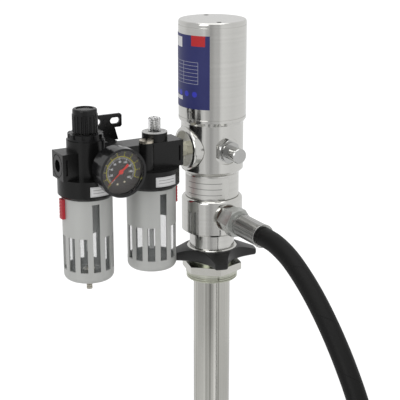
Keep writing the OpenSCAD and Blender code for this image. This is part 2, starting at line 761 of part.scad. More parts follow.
thread_step = thread_cut_h / thread_turns;

// Suction tube and lower pump

module suction_tube() color("gainsboro") translate([0, 0, tube_foot_z])
    ring(tube_r, tube_bore_r, outlet_z - tube_foot_z);

module pump_plunger() color("silver") translate([0, 0, plunger_z]) difference() {
    cylinder(r = tube_bore_r - run_gap, h = plunger_h);
    translate([0, 0, -overrun]) cylinder(d = plunger_seat_d, h = plunger_h);
    translate([0, 0, plunger_floor])
        cylinder(d = plunger_chamber_d, h = plunger_h - plunger_floor - 2 * rod_stud_h);
    translate([0, 0, plunger_h - rod_stud_h]) cylinder(d = piston_stud_d, h = rod_stud_h + overrun);
    around(plunger_windows) translate([0, -plunger_window_w / 2, plunger_h / 2])
        cube([tube_bore_r, plunger_window_w, plunger_h / 2 - 2 * rod_stud_h]);
}

plunger_ball_up = sqrt(pow(plunger_ball_d / 2 + run_gap, 2) - pow(plunger_seat_d / 2, 2));
module plunger_ball() color("silver") translate([0, 0, plunger_z + plunger_floor + plunger_ball_up])
    sphere(d = plunger_ball_d);

foot_ball_up = sqrt(pow(foot_ball_d / 2 + run_gap, 2) - pow(foot_seat_d / 2, 2));
foot_pin_up = foot_floor + foot_ball_up + foot_ball_d / 2 + foot_ball_lift + foot_pin_d / 2 + run_gap;
module foot_valve_body() color("gainsboro") translate([0, 0, tube_foot_z - foot_body_h]) {
    difference() {
        union() {
            cylinder(d = foot_d, h = foot_body_h);
            cylinder(r = tube_bore_r - fit_gap, h = foot_body_h + foot_spigot_h);
        }
        translate([0, 0, -overrun]) cylinder(d = foot_seat_d, h = foot_body_h);
        translate([0, 0, foot_floor])
            cylinder(d = foot_chamber_d, h = foot_body_h - foot_floor + foot_spigot_h + overrun);
    }
    translate([-foot_chamber_d / 2 - overrun, 0, foot_pin_up]) rotate([0, 90, 0])
        cylinder(d = foot_pin_d, h = foot_chamber_d + 2 * overrun);
}
module foot_ball() color("silver") translate([0, 0, foot_seat_z + foot_ball_up]) sphere(d = foot_ball_d);

module foot_strainer() color("silver") translate([0, 0, -foot_depth]) difference() {
    cylinder(d = foot_d, h = strainer_h);
    translate([0, 0, strainer_wall]) cylinder(d = foot_d - 2 * strainer_wall, h = strainer_h);
    around(strainer_slots) translate([0, -strainer_slot_w / 2, 2 * strainer_wall])
        cube([foot_d, strainer_slot_w, strainer_h - 4 * strainer_wall]);
}

// Air units

// A block with a bowl collar below, in the unit's own frame: the bowl's axis is Z
module unit_block() {
    translate([-block_w / 2, -block_d / 2, frl_z]) cube([block_w, block_d, block_h]);
    translate([0, 0, collar_low_z]) rotate_extrude() polygon([[0, 0],
        [bowl_collar_d / 2 - collar_chamfer, 0], [bowl_collar_d / 2, collar_chamfer],
        [bowl_collar_d / 2, bowl_collar_h], [0, bowl_collar_h]]);
}
module unit_cuts() {
    translate([0, 0, collar_low_z - overrun])
        cylinder(r = guard_d / 2 + run_gap, h = guard_in_collar + run_gap + overrun);
    translate([0, 0, collar_low_z]) cylinder(r = bowl_r + bowl_gap, h = guard_in_collar + bowl_top_gap);
    for (s = [-1, 1]) {
        for (f = [-1, 1]) translate([s * (block_w / 2 - slot_mark_in) - slot_mark_w / 2,
            f * (block_d / 2 - slot_mark_t / 2) - slot_mark_t / 2 - (f < 0 ? overrun : 0),
            frl_z + (block_h - slot_mark_h) / 2])
            cube([slot_mark_w, slot_mark_t + overrun, slot_mark_h]);
        translate([s * (block_w / 2 + overrun), 0, motor_port_z]) rotate([0, -s * 90, 0])
            cylinder(d = port_d, h = port_depth + overrun);
    }
    translate([-block_w / 2, 0, motor_port_z]) rotate([0, 90, 0]) cylinder(d = air_way_d / 2, h = block_w);
}
module port_recess(s) translate([s * block_w / 2, 0, motor_port_z]) rotate([0, 90, 0])
    translate([0, 0, -recess_t]) ring(recess_d / 2, recess_d / 2 - groove_w, 2 * recess_t);
bowl_r = guard_d / 2 - guard_wall - bowl_gap;

module filter_body() color([0.13, 0.13, 0.13]) translate([filter_x, 0, 0]) difference() {
    union() {
        unit_block();
        translate([0, 0, frl_z]) cylinder(d = bonnet_d, h = bonnet_top_z - frl_z);
        translate([0, 0, bonnet_top_z]) cylinder(d = bonnet_neck_d, h = bonnet_nut_h);
        translate([gauge_off - gauge_boss_w / 2, gauge_back_y, motor_port_z - gauge_boss_w / 2])
            cube([gauge_boss_w, -gauge_back_y, gauge_boss_w]);
    }
    unit_cuts();
    port_recess(-1);
    translate([0, 0, diaphragm_z]) cylinder(d = chamber_d, h = bonnet_top_z - diaphragm_z - cap_wall);
    translate([0, 0, bonnet_top_z - cap_wall - overrun])
        cylinder(d = spindle_d + 2 * run_gap, h = cap_wall + bonnet_nut_h + 2 * overrun);
    translate([0, 0, diaphragm_z - poppet_h]) cylinder(d = poppet_d + 2 * run_gap, h = poppet_h + overrun);
    translate([gauge_off, gauge_back_y - overrun, motor_port_z]) rotate([-90, 0, 0])
        cylinder(d = gauge_stem_d + 2 * fit_gap, h = -gauge_back_y - block_d / 2);
}
diaphragm_z = motor_port_z + port_d / 2 + 2 * overrun;

module bonnet_nut() color([0.13, 0.13, 0.13]) translate([filter_x, 0, bonnet_top_z]) difference() {
    cylinder(d = bonnet_nut_d, h = bonnet_nut_h - run_gap);
    translate([0, 0, -overrun]) cylinder(d = bonnet_neck_d + 2 * fit_gap, h = bonnet_nut_h + 2 * overrun);
    around(bonnet_nut_notches) translate([bonnet_nut_d / 2 - notch_t, -notch_w / 2, bonnet_nut_h / 3])
        cube([notch_t + overrun, notch_w, bonnet_nut_h]);
}

knob_z = bonnet_top_z + bonnet_nut_h + knob_up;
module pressure_knob() color([0.16, 0.16, 0.16]) translate([filter_x, 0, knob_z]) difference() {
    rotate_extrude() polygon(concat([[0, 0], [knob_d / 2, 0], [knob_d / 2, knob_h - knob_band_h],
        [knob_d / 2 - knob_band_in, knob_h - knob_band_h]],
        arc(knob_d / 2 - knob_band_in - knob_top_round, knob_h - knob_top_round, knob_top_round,
            knob_top_round, 0, 90, 5),
        [[knob_recess_d / 2, knob_h], [knob_recess_d / 2, knob_h - knob_recess_h],
        [0, knob_h - knob_recess_h]]));
    translate([0, 0, -overrun]) cylinder(d = spindle_d + 2 * fit_gap, h = spindle_up + knob_lift + overrun);
    translate([0, 0, -overrun]) ring(knob_d / 2 - knob_wall, spindle_d / 2 + knob_wall, spindle_up);
    around(knob_flutes) translate([knob_d / 2, 0, -overrun])
        cylinder(d = knob_flute_d, h = knob_h - knob_band_h - small_chamfer + overrun);
}
spindle_up = knob_h / 2;

module adjusting_spindle() color("silver") translate([filter_x, 0, spring_top_z])
    cylinder(d = spindle_d, h = knob_z + spindle_up - spring_top_z - overrun);
spring_top_z = diaphragm_z + diaphragm_h + spring_h;

module regulator_spring() color("dimgray") translate([filter_x, 0, diaphragm_z + diaphragm_h])
    ring(spring_d / 2, spring_d / 2 - guard_wall, spring_h);

module diaphragm() color("black") translate([filter_x, 0, diaphragm_z])
    cylinder(d = chamber_d - 2 * run_gap, h = diaphragm_h);

module regulator_valve() color("goldenrod") translate([filter_x, 0, diaphragm_z - poppet_h])
    cylinder(d = poppet_d, h = poppet_h);

// The guard shell and its bowl stand in the unit's own frame
module guard_shape(turn) difference() {
    translate([0, 0, guard_z]) rotate_extrude() polygon(concat([[guard_hole_r, 0]],
        arc(guard_d / 2 - guard_round, guard_round, guard_round, guard_round, -90, 0, 6),
        [[guard_d / 2, guard_h + guard_in_collar], [guard_d / 2 - guard_wall, guard_h + guard_in_collar]],
        arc(guard_d / 2 - guard_round, guard_round, guard_round - guard_wall, guard_round - guard_wall,
            0, -90, 6),
        [[guard_hole_r, guard_wall]]));
    for (i = [0 : guard_slots - 1]) rotate(turn + 360 * i / guard_slots)
        guard_slot(i == 0 ? guard_long_slot_h : guard_slot_h);
}
guard_hole_r = drain_d / 2 + 2 * guard_wall;
module guard_slot(h)
    translate([guard_d / 2 - 3 * guard_wall, -guard_slot_w / 2, guard_z + guard_slot_low])
        cube([4 * guard_wall, guard_slot_w, h]);
bowl_z = guard_z + guard_wall + bowl_gap;
bowl_h = collar_low_z + guard_in_collar - bowl_z;
module bowl_shape(hole_d) translate([0, 0, bowl_z]) difference() {
    rotate_extrude() polygon(concat([[0, 0]],
        arc(bowl_r - guard_round, guard_round, guard_round, guard_round, -90, 0, 6),
        [[bowl_r, bowl_h], [bowl_r - bowl_wall, bowl_h]],
        arc(bowl_r - guard_round, guard_round, guard_round - bowl_wall, guard_round - bowl_wall, 0, -90, 6),
        [[0, bowl_wall]]));
    if (hole_d > 0) translate([0, 0, -overrun]) cylinder(d = hole_d, h = bowl_wall + 2 * overrun);
}

module filter_guard() color("silver") translate([filter_x, 0, 0])
    guard_shape(filter_guard_angle);

module filter_bowl() color([0.85, 0.9, 0.9, 0.4]) translate([filter_x, 0, 0])
    bowl_shape(drain_d + 2 * run_gap);

element_z = collar_low_z - element_h;
module filter_element() color("whitesmoke") translate([filter_x, 0, element_z]) rotate_extrude()
    polygon([[0, -baffle_rod_h], [baffle_rod_d / 2, -baffle_rod_h], [baffle_rod_d / 2, 0],
        [element_d / 2 * element_tip_share, 0], [element_d / 2, element_h - baffle_h],
        [baffle_d / 2, element_h - baffle_h], [baffle_d / 2, element_h],
        [element_d / 2, element_h], [element_d / 2, element_top], [0, element_top]]);
element_top = element_h + guard_in_collar + bowl_top_gap;

module drain_valve() color("lightgray") translate([filter_x, 0, guard_z - drain_out]) {
    difference() {
        cylinder(d = drain_d, h = drain_out + drain_in);
        for (i = [1 : drain_grooves]) translate([0, 0, i * drain_groove_step])
            ring(drain_d, drain_d / 2 - groove_t, groove_w);
    }
    translate([0, 0, drain_out + drain_in - drain_head_h - drain_push])
        cylinder(d = drain_head_d, h = drain_head_h);
}

// A latch rides on the outside of a guard, just under the collar
latch_z = collar_low_z - latch_down - latch_h;
module latch_shape() translate([0, 0, latch_z]) difference() {
    intersection() {
        translate([guard_d / 2 - overrun, -latch_w / 2, 0]) cube([latch_t + overrun, latch_w, latch_h]);
        ring(guard_d / 2 + latch_t, guard_d / 2 + run_gap, latch_h);
    }
    for (i = [1 : latch_ribs])
        translate([guard_d / 2 + latch_t - latch_rib_t, -latch_w, i * latch_h / (latch_ribs + 1)])
        cube([overrun, 2 * latch_w, 2 * latch_rib_t]);
}

module filter_latch() color("firebrick") translate([filter_x, 0, 0]) rotate(180) latch_shape();

plug_x = -plug_off_x;
plug_z = block_top_z + plug_boss_up;
module lubricator_body() color([0.13, 0.13, 0.13]) translate([lub_x, 0, 0]) difference() {
    union() {
        unit_block();
        translate([plug_x, -block_d / 2, frl_z - plug_boss_low])
            cylinder(d = plug_boss_d, h = block_h + plug_boss_low + plug_boss_up);
    }
    unit_cuts();
    port_recess(1);
    translate([plug_x, -block_d / 2, plug_z - plug_thread_h])
        cylinder(d = plug_thread_d, h = plug_thread_h + overrun);
    translate([dome_off_x, 0, motor_port_z]) cylinder(d = drip_d, h = block_h);
}

module lubricator_guard() color("silver") translate([lub_x, 0, 0])
    guard_shape(lub_guard_angle);

module lubricator_bowl() color([0.85, 0.9, 0.9, 0.4]) translate([lub_x, 0, 0]) bowl_shape(0);

module lubricator_latch() color("firebrick") translate([lub_x, 0, 0]) latch_shape();

module oil_pickup_tube() color("whitesmoke")
    translate([lub_x, 0, collar_low_z + guard_in_collar + bowl_top_gap - pickup_h])
        ring(pickup_d / 2, pickup_d / 4, pickup_h);

module fill_plug() color("tan") translate([lub_x + plug_x, -block_d / 2, plug_z]) difference() {
    union() {
        cylinder(d = plug_d, h = plug_head_h);
        translate([0, 0, -plug_thread_h + overrun])
            cylinder(d = plug_thread_d - 2 * fit_gap, h = plug_thread_h - overrun);
    }
    rotate(60) translate([-plug_d, -plug_slot_w / 2, plug_head_h - plug_slot_t])
        cube([2 * plug_d, plug_slot_w, plug_slot_t + overrun]);
}

module sight_collar() color([0.15, 0.15, 0.15]) translate([lub_x + dome_off_x, 0, block_top_z])
    difference() {
        cylinder(d = sight_collar_d, h = sight_collar_h);
        translate([0, 0, -overrun]) cylinder(d = drip_d, h = sight_collar_h + 2 * overrun);
        translate([0, 0, sight_collar_h / 2]) cylinder(d = dome_d + 2 * fit_gap, h = sight_collar_h);
    }

dome_low_z = block_top_z + sight_collar_h / 2;
module sight_dome() color([0.9, 0.95, 0.95, 0.4]) translate([lub_x + dome_off_x, 0, dome_low_z])
    difference() {
    rotate_extrude() polygon(concat([[dome_d / 2 - dome_wall, 0], [dome_d / 2, 0]],
        arc(dome_d / 2 - dome_round, dome_top - dome_round, dome_round, dome_round, 0, 90, 5),
        [[0, dome_top], [0, dome_top - dome_wall], [dome_d / 2 - dome_wall, dome_top - dome_wall]]));
    translate([-dome_slot_w / 2, -dome_d, dome_top - dome_slot_t]) cube([dome_slot_w, 2 * dome_d, dome_h]);
}
dome_top = dome_h + sight_collar_h / 2;

// Bracket: a spacer clamped between the two units, with a slotted plate behind
spacer_w = unit_pitch - block_w;
bracket_x = (lub_x + filter_x) / 2;
module mounting_bracket() color([0.13, 0.13, 0.13]) translate([bracket_x, 0, 0]) difference() {
    union() {
        translate([-spacer_w / 2, -block_d / 2, frl_z]) cube([spacer_w, block_d, block_h]);
        translate([-spacer_w / 2, 0, block_top_z - bracket_t])
            cube([spacer_w, bracket_back_y + bracket_t, bracket_t]);
        translate([0, bracket_back_y + bracket_t, 0]) rotate([90, 0, 0])
            linear_extrude(height = bracket_t) bracket_outline();
    }
    for (s = [-1, 1]) translate([s * bracket_slot_pitch / 2, 0, bracket_ear_low_z + bracket_ear_h / 2])
        rotate([-90, 0, 0]) for (t = [-1, 1])
            translate([t * (bracket_slot_l - bracket_slot_w) / 2, 0, bracket_back_y - overrun])
                cylinder(d = bracket_slot_w, h = bracket_t + 2 * overrun);
    for (s = [-1, 1]) translate([s * bracket_slot_pitch / 2 - (bracket_slot_l - bracket_slot_w) / 2,
        bracket_back_y - overrun, bracket_ear_low_z + bracket_ear_h / 2 - bracket_slot_w / 2])
        cube([bracket_slot_l - bracket_slot_w, bracket_t + 2 * overrun, bracket_slot_w]);
    translate([-spacer_w, 0, motor_port_z]) rotate([0, 90, 0]) cylinder(d = air_way_d, h = 2 * spacer_w);
    translate([0, bracket_back_y + bracket_ring_t, bracket_ear_low_z + bracket_ear_h / 2]) rotate([90, 0, 0])
        ring(bracket_ring_d / 2, bracket_ring_d / 2 - bracket_ring_t, 2 * bracket_ring_t);
}
module bracket_outline() {
    polygon([[-bracket_foot_w / 2, block_top_z - bracket_t], [bracket_foot_w / 2, block_top_z - bracket_t],
        [bracket_stem_w / 2, bracket_ear_low_z], [-bracket_stem_w / 2, bracket_ear_low_z]]);
    difference() {
        translate([-bracket_ear_w / 2, bracket_ear_low_z]) square([bracket_ear_w, bracket_ear_h]);
        for (s = [-1, 1], t = [0, 1]) translate([s * bracket_ear_w / 2,
            bracket_ear_low_z + t * bracket_ear_h]) rotate(45)
            square([bracket_corner, bracket_corner], center = true);
    }
}

// Pressure gauge: dial, needle and lens in a round case, facing -Y
gauge_x = filter_x + gauge_off;
bezel_r = gauge_d / 2;
case_y = gauge_back_y;
bezel_y = case_y - gauge_case_h + overrun;
module gauge_case() color([0.12, 0.12, 0.12]) translate([gauge_x, 0, motor_port_z]) rotate([90, 0, 0])
    difference() {
        union() {
            translate([0, 0, -case_y]) cylinder(r = bezel_r - gauge_case_in, h = gauge_case_h);
            translate([0, 0, -bezel_y]) cylinder(r = bezel_r, h = gauge_bezel_h);
            translate([0, 0, -case_y - gauge_case_h]) cylinder(d = gauge_stem_d, h = gauge_case_h);
        }
        translate([0, 0, -gauge_dial_y - dial_t]) cylinder(r = bezel_r - gauge_bezel_t, h = gauge_case_h);
    }

module gauge_dial() color([0.33, 0.31, 0.3]) translate([gauge_x, gauge_dial_y + dial_t, motor_port_z])
    rotate([90, 0, 0]) cylinder(r = bezel_r - gauge_bezel_t - fit_gap, h = dial_t);

module gauge_lens() color([0.9, 0.95, 0.95, 0.3]) translate([gauge_x, gauge_dial_y - lens_gap, motor_port_z])
    rotate([90, 0, 0]) cylinder(r = bezel_r - gauge_bezel_t - fit_gap, h = lens_t);

module gauge_needle() color([0.83, 0.3, 0.3]) translate([gauge_x, gauge_dial_y - needle_up, motor_port_z])
    rotate([90, 0, 0]) rotate(needle_angle) linear_extrude(height = needle_t) {
        circle(d = needle_hub_d);
        polygon([[-needle_w / 2, 0], [0, -needle_reach], [needle_w / 2, 0], [needle_w, needle_tail],
            [-needle_w, needle_tail]]);
    }

module blank_labels() color([0.18, 0.2, 0.4]) {
    translate([0, 0, barrel_z + barrel_label_up])
        skin(barrel_r, barrel_label_h, barrel_label_angle, barrel_label_arc_angle);
    translate([0, 0, neck_z + neck_label_up])
        skin(neck_r, neck_label_h, neck_label_angle, neck_label_arc_angle);
    for (x = [filter_x, lub_x]) translate([x, 0, collar_low_z + unit_label_up])
        skin(bowl_collar_d / 2, unit_label_h, unit_label_angle, unit_label_arc_angle);
}

air_cylinder();
cylinder_cap();
air_piston();
piston_seal();
piston_rod();
valve_spool();
motor_body();
inlet_nipple();
inlet_union_nut();
silencer_nut();
silencer_tube();
silencer_cap();
neck_sleeve();
rod_gland();
outlet_body();
outlet_adaptor();
hose_swivel_nut();
hose_ferrule();
hose_tube();
hose_coil();
end_ferrule();
end_swivel_nut();
tube_collar();
suction_tube();
star_nut();
thrust_ring();
grip_seal();
bung_adaptor();
pump_plunger();
plunger_ball();
foot_valve_body();
foot_ball();
foot_strainer();
filter_body();
bonnet_nut();
pressure_knob();
adjusting_spindle();
regulator_spring();
diaphragm();
regulator_valve();
filter_guard();
filter_bowl();
filter_element();
drain_valve();
filter_latch();
lubricator_body();
lubricator_guard();
lubricator_bowl();
lubricator_latch();
oil_pickup_tube();
fill_plug();
sight_collar();
sight_dome();
mounting_bracket();
gauge_case();
gauge_lens();
gauge_dial();
gauge_needle();
blank_labels();
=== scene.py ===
# %% [markdown]
# An oil pump for a drum: a polished air motor on a long suction tube, a black star nut that grips
# the tube in the drum's bung, an air filter, regulator and lubricator at its side, and a hose.
# The solids come from the CAD model, in metres and at their real size. This lesson dresses them:
# it gives each one its finish, and swaps a few plain solids for finer meshes.

# %% Load the frame
import json
import math
import bpy
import bmesh
from mathutils import Matrix, Vector

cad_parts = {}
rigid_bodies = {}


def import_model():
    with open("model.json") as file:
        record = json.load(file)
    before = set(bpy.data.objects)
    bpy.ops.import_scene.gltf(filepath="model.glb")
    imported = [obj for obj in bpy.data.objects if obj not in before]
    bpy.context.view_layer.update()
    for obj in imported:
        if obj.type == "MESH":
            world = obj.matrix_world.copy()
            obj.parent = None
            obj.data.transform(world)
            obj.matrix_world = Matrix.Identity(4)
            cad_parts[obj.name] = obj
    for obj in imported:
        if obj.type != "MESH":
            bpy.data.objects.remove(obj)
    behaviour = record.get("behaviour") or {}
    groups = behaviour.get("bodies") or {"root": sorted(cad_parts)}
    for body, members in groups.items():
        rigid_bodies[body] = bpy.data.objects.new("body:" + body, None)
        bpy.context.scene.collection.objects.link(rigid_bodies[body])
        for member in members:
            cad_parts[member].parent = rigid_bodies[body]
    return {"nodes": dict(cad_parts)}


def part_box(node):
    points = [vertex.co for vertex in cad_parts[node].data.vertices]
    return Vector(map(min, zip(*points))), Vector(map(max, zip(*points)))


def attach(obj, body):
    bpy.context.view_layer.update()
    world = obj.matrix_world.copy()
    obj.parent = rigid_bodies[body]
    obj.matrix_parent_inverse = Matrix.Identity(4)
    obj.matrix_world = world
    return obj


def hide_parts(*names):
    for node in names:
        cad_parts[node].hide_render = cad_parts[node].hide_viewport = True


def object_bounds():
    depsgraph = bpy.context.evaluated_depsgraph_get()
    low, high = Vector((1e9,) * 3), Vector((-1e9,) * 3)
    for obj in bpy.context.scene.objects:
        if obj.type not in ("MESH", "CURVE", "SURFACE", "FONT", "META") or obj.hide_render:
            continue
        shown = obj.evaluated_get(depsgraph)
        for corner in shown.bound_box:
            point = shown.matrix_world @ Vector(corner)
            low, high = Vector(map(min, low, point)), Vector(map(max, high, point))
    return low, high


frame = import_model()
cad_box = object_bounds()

MM = 0.001
nodes = frame["nodes"]

# %% [markdown]
# The camera first. It stands 1.3 m away, a little above the pump and to its left, with a long lens,
# as for a catalogue picture. Its place was found by fitting the pump's rims and axes to the picture.

# %% Camera
CAMERA_AT = (-0.6502, -1.1356, 0.4768)
CAMERA_PITCH = 73.16
CAMERA_YAW = -29.2
CAMERA_LENS = 108.27
SENSOR_WIDTH = 36

camera = bpy.data.objects.new("camera", bpy.data.cameras.new("camera"))
camera.data.lens = CAMERA_LENS
camera.data.sensor_width = SENSOR_WIDTH
camera.location = CAMERA_AT
camera.rotation_euler = (math.radians(CAMERA_PITCH), 0, math.radians(CAMERA_YAW))
bpy.context.scene.collection.objects.link(camera)
bpy.context.scene.camera = camera
bpy.context.scene.view_settings.view_transform = "Standard"

# %% [markdown]
# Two small tools come before the pieces. The first makes an object from points and faces, with its
# material and, where a pattern follows the surface, a UV map in millimetres.

# %% Mesh helper
def new_piece(name, points, faces, material=None, uv_of=None, smooth=True):
    mesh = bpy.data.meshes.new(name)
    mesh.from_pydata([tuple(p) for p in points], [], faces)
    mesh.validate()
    if uv_of is not None:
        layer = mesh.uv_layers.new(name="UVMap")
        for loop in mesh.loops:
            layer.data[loop.index].uv = uv_of(loop.vertex_index, loop.index)
    mesh.shade_smooth() if smooth else mesh.shade_flat()
    obj = bpy.data.objects.new(name, mesh)
    bpy.context.scene.collection.objects.link(obj)
    if material is not None:
        mesh.materials.append(material)
    return obj


# %% [markdown]
# The second makes shader maths readable. `Value` wraps a socket, so that `1 - mask * 0.3` adds the
# Math nodes by itself, and `make_node` sets any other node in one call.

# %% Shader helper
def make_node(tree, kind, settings=None, inputs=None):
    node = tree.nodes.new(kind)
    for key, value in (settings or {}).items():
        if key == "stops":
            ramp = node.color_ramp
            while len(ramp.elements) < len(value):
                ramp.elements.new(0.5)
            for element, (place, grey) in zip(ramp.elements, value):
                element.position = place
                element.color = (grey, grey, grey, 1)
        else:
            setattr(node, key, value)
    for key, value in (inputs or {}).items():
        socket = node.inputs[key]
        if isinstance(value, Value):
            tree.links.new(value.socket, socket)
        else:
            socket.default_value = value
    return node


class Value:
    def __init__(self, tree, socket):
        self.tree, self.socket = tree, socket

    def math(self, operation, *values, clamp=False):
        inputs = {i: v for i, v in enumerate(values)}
        node = make_node(self.tree, "ShaderNodeMath", {"operation": operation, "use_clamp": clamp}, inputs)
        return Value(self.tree, node.outputs[0])

    def __add__(self, other): return self.math("ADD", self, other)
    def __radd__(self, other): return self.math("ADD", other, self)
    def __sub__(self, other): return self.math("SUBTRACT", self, other)
    def __rsub__(self, other): return self.math("SUBTRACT", other, self)
    def __mul__(self, other): return self.math("MULTIPLY", self, other)
    def __rmul__(self, other): return self.math("MULTIPLY", other, self)
    def __truediv__(self, other): return self.math("DIVIDE", self, other)
    def __gt__(self, other): return self.math("GREATER_THAN", self, other)
    def __lt__(self, other): return self.math("LESS_THAN", self, other)
    def power(self, exponent): return self.math("POWER", self, exponent)
    def sine(self): return self.math("SINE", self)
    def absolute(self): return self.math("ABSOLUTE", self)
    def clamped(self): return self.math("ADD", self, 0.0, clamp=True)
    def fraction(self): return self.math("FRACT", self)


class Finish:
    """A material: its base colour and gloss, and the patterns that vary them."""

    def __init__(self, name, colour, roughness, metallic=0.0, **sockets):
        self.material = bpy.data.materials.new(name)
        self.material.use_nodes = True
        self.tree = self.material.node_tree
        self.shader = self.tree.nodes["Principled BSDF"]
        self.put("Base Color", (*colour, 1))
        self.put("Roughness", roughness)
        self.put("Metallic", metallic)
        for key, value in sockets.items():
            self.put(key.replace("_", " "), value)
        self.objects = self.out("ShaderNodeTexCoord", out="Object")

    def put(self, key, value):
        if isinstance(value, Value):
            self.tree.links.new(value.socket, self.shader.inputs[key])
        else:
            self.shader.inputs[key].default_value = value
        return self

    # settings are the node's own, and inputs its sockets, with a _ for each space in a socket's name.
    def out(self, kind, settings=None, out=0, **inputs):
        inputs = {k.replace("_", " "): v for k, v in inputs.items()}
        return Value(self.tree, make_node(self.tree, kind, settings, inputs).outputs[out])

    def at(self, centre=(0, 0, 0), turn=(0, 0, 0), scale=(1, 1, 1)):
        """Object coordinates, measured from centre and turned so that a piece's own axis is Z."""
        return self.out("ShaderNodeMapping", {"vector_type": "TEXTURE"}, Vector=self.objects,
                        Location=centre, Rotation=turn, Scale=scale)

    def noise(self, vector, scale, detail=3, rough=0.5, dimensions="3D", w=None):
        inputs = {"Scale": scale, "Detail": detail, "Roughness": rough}
        if dimensions != "1D":
            inputs["Vector"] = vector
        if w is not None:
            inputs["W"] = w
        return self.out("ShaderNodeTexNoise", {"noise_dimensions": dimensions}, out="Fac", **inputs)

    def split(self, vector):
        node = make_node(self.tree, "ShaderNodeSeparateXYZ", None, {"Vector": vector})
        return [Value(self.tree, s) for s in node.outputs]

    def mix(self, share, first, second):
        node = make_node(self.tree, "ShaderNodeMix", {"data_type": "RGBA"}, {0: share})
        for index, colour in ((6, first), (7, second)):
            if isinstance(colour, Value):
                self.tree.links.new(colour.socket, node.inputs[index])
            else:
                node.inputs[index].default_value = (*colour, 1)
        return Value(self.tree, node.outputs[2])

    def bump(self, height, depth, strength=1.0):
        self.put("Normal", self.out("ShaderNodeBump", None, Height=height, Distance=depth, Strength=strength))
        return self


# %% [markdown]
# The hose is 21 mm across, stiff, and a little over 4 m long. It leaves its crimped ferrule level,
# droops over the drum's side and lies in a coil on the floor. Its line repeats the CAD model's
# points. They are joined by a smooth curve, and a tube is swept along it with no twist.

# %% Hose line
HOSE_D, HOSE_SIDES, PATH_STEP = 0.021, 32, 0.006
HOSE_ROUTE = [(0, -110, 69.3), (0, -134, 68), (0, -160, 61), (0, -184, 49), (0, -207, 34),
              (0, -228, 17), (0, -248, -2), (0, -266, -22), (0, -283, -44), (0, -298, -68),
              (0, -311, -94), (0, -322, -122), (0, -331, -152), (0, -338, -185), (0, -342, -220),
              (0, -344, -260), (0, -345, -305), (0, -345, -355), (0, -345, -405), (0, -345, -455),
              (0, -345, -505), (0, -345, -555), (0, -345, -605), (0, -345, -655), (0, -345, -700),
              (-1, -345, -732), (-6, -345, -760), (-18, -345, -787), (-36, -345, -810),
              (-60, -345, -828), (-90, -345, -837), (-115, -345, -838.5)]
COIL_RINGS, COIL_STEP, COIL_OUT = 24, 22, 148
COIL_LOW, COIL_CLIMB, COIL_HIGH = 2, 0.5, 1.5
COIL_RISE = 2.4


def coil_point(t):
    middle = COIL_LOW + COIL_CLIMB / 2
    radius = COIL_OUT - COIL_STEP * (t if t < middle else 2 * middle - t)
    u = min(1, max(0, (t - COIL_LOW) / COIL_CLIMB))
    angle = math.radians(-90 - 360 * t)
    x, y, z = HOSE_ROUTE[-1]
    return Vector((x - HOSE_D / MM + radius * math.cos(angle), y + COIL_OUT + radius * math.sin(angle),
                   z + COIL_STEP * u * u * (3 - 2 * u)))


def hose_line():
    turns = COIL_LOW + COIL_CLIMB + COIL_HIGH
    line = [Vector(p) for p in HOSE_ROUTE]
    line += [coil_point(i / COIL_RINGS) for i in range(int(turns * COIL_RINGS) + 1)]
    last = line[-1]
    step = HOSE_D / MM
    line += [last + Vector((-step, 0, COIL_RISE)), last + Vector((-2 * step, 0, COIL_RISE))]
    return [p * MM for p in line]


def smooth_line(points, spacing):
    """A curve through all the points (Catmull and Rom's), with places about as far apart as spacing."""
    ends = [2 * points[0] - points[1]] + points + [2 * points[-1] - points[-2]]
    line = []
    for a, b, c, d in zip(ends, ends[1:], ends[2:], ends[3:]):
        count = max(1, round((c - b).length / spacing))
        for i in range(count):
            t = i / count
            line.append(0.5 * (2 * b + (c - a) * t + (2 * a - 5 * b + 4 * c - d) * t * t
                               + (3 * b - a - 3 * c + d) * t ** 3))
    return line + [points[-1]]


route = hose_line()
path = smooth_line(route, PATH_STEP)
hose_length = sum((b - a).length for a, b in zip(path, path[1:]))
print("hose", round(hose_length, 3), "m", len(path), "places")


# %% Hose tube
def sweep(name, line, radius, sides, material):
    """A closed tube along a line. UV: u round the tube, v along it, both in metres."""
    side = Vector((1, 0, 0))
    points, along, distance = [], [], 0
    for i, p in enumerate(line):
        way = (line[min(i + 1, len(line) - 1)] - line[max(i - 1, 0)]).normalized()
        side = (side - way * side.dot(way)).normalized()
        up = way.cross(side)
        distance += (p - line[i - 1]).length if i else 0
        along.append(distance)
        for k in range(sides):
            a = 2 * math.pi * k / sides
            points.append(p + radius * (math.cos(a) * side + math.sin(a) * up))
    faces = [(i * sides + k, i * sides + (k + 1) % sides,
              (i + 1) * sides + (k + 1) % sides, (i + 1) * sides + k)
             for i in range(len(line) - 1) for k in range(sides)]
    corners = [((k + c) / sides, i + r) for i in range(len(line) - 1) for k in range(sides)
               for c, r in ((0, 0), (1, 0), (1, 1), (0, 1))]
    faces.append(tuple(reversed(range(sides))))
    faces.append(tuple(range((len(line) - 1) * sides, len(line) * sides)))

    def uv(vertex, loop):
        if loop < len(corners):
            u, row = corners[loop]
            return (u * 2 * math.pi * radius, along[row])
        return (0, along[vertex // sides])
    return new_piece(name, points, faces, material, uv)


# %% [markdown]
# The hose's cover is black rubber that was cured under a wrapped tape. The tape leaves a fine weave
# all over and a shallow seam that winds round the hose. Both follow the surface, so they use the
# tube's UV map: the seam is where v plus a share of u comes round to a whole number of turns.

# %% Hose finish
TAPE_TURN, WEAVE = 0.062, 0.0011


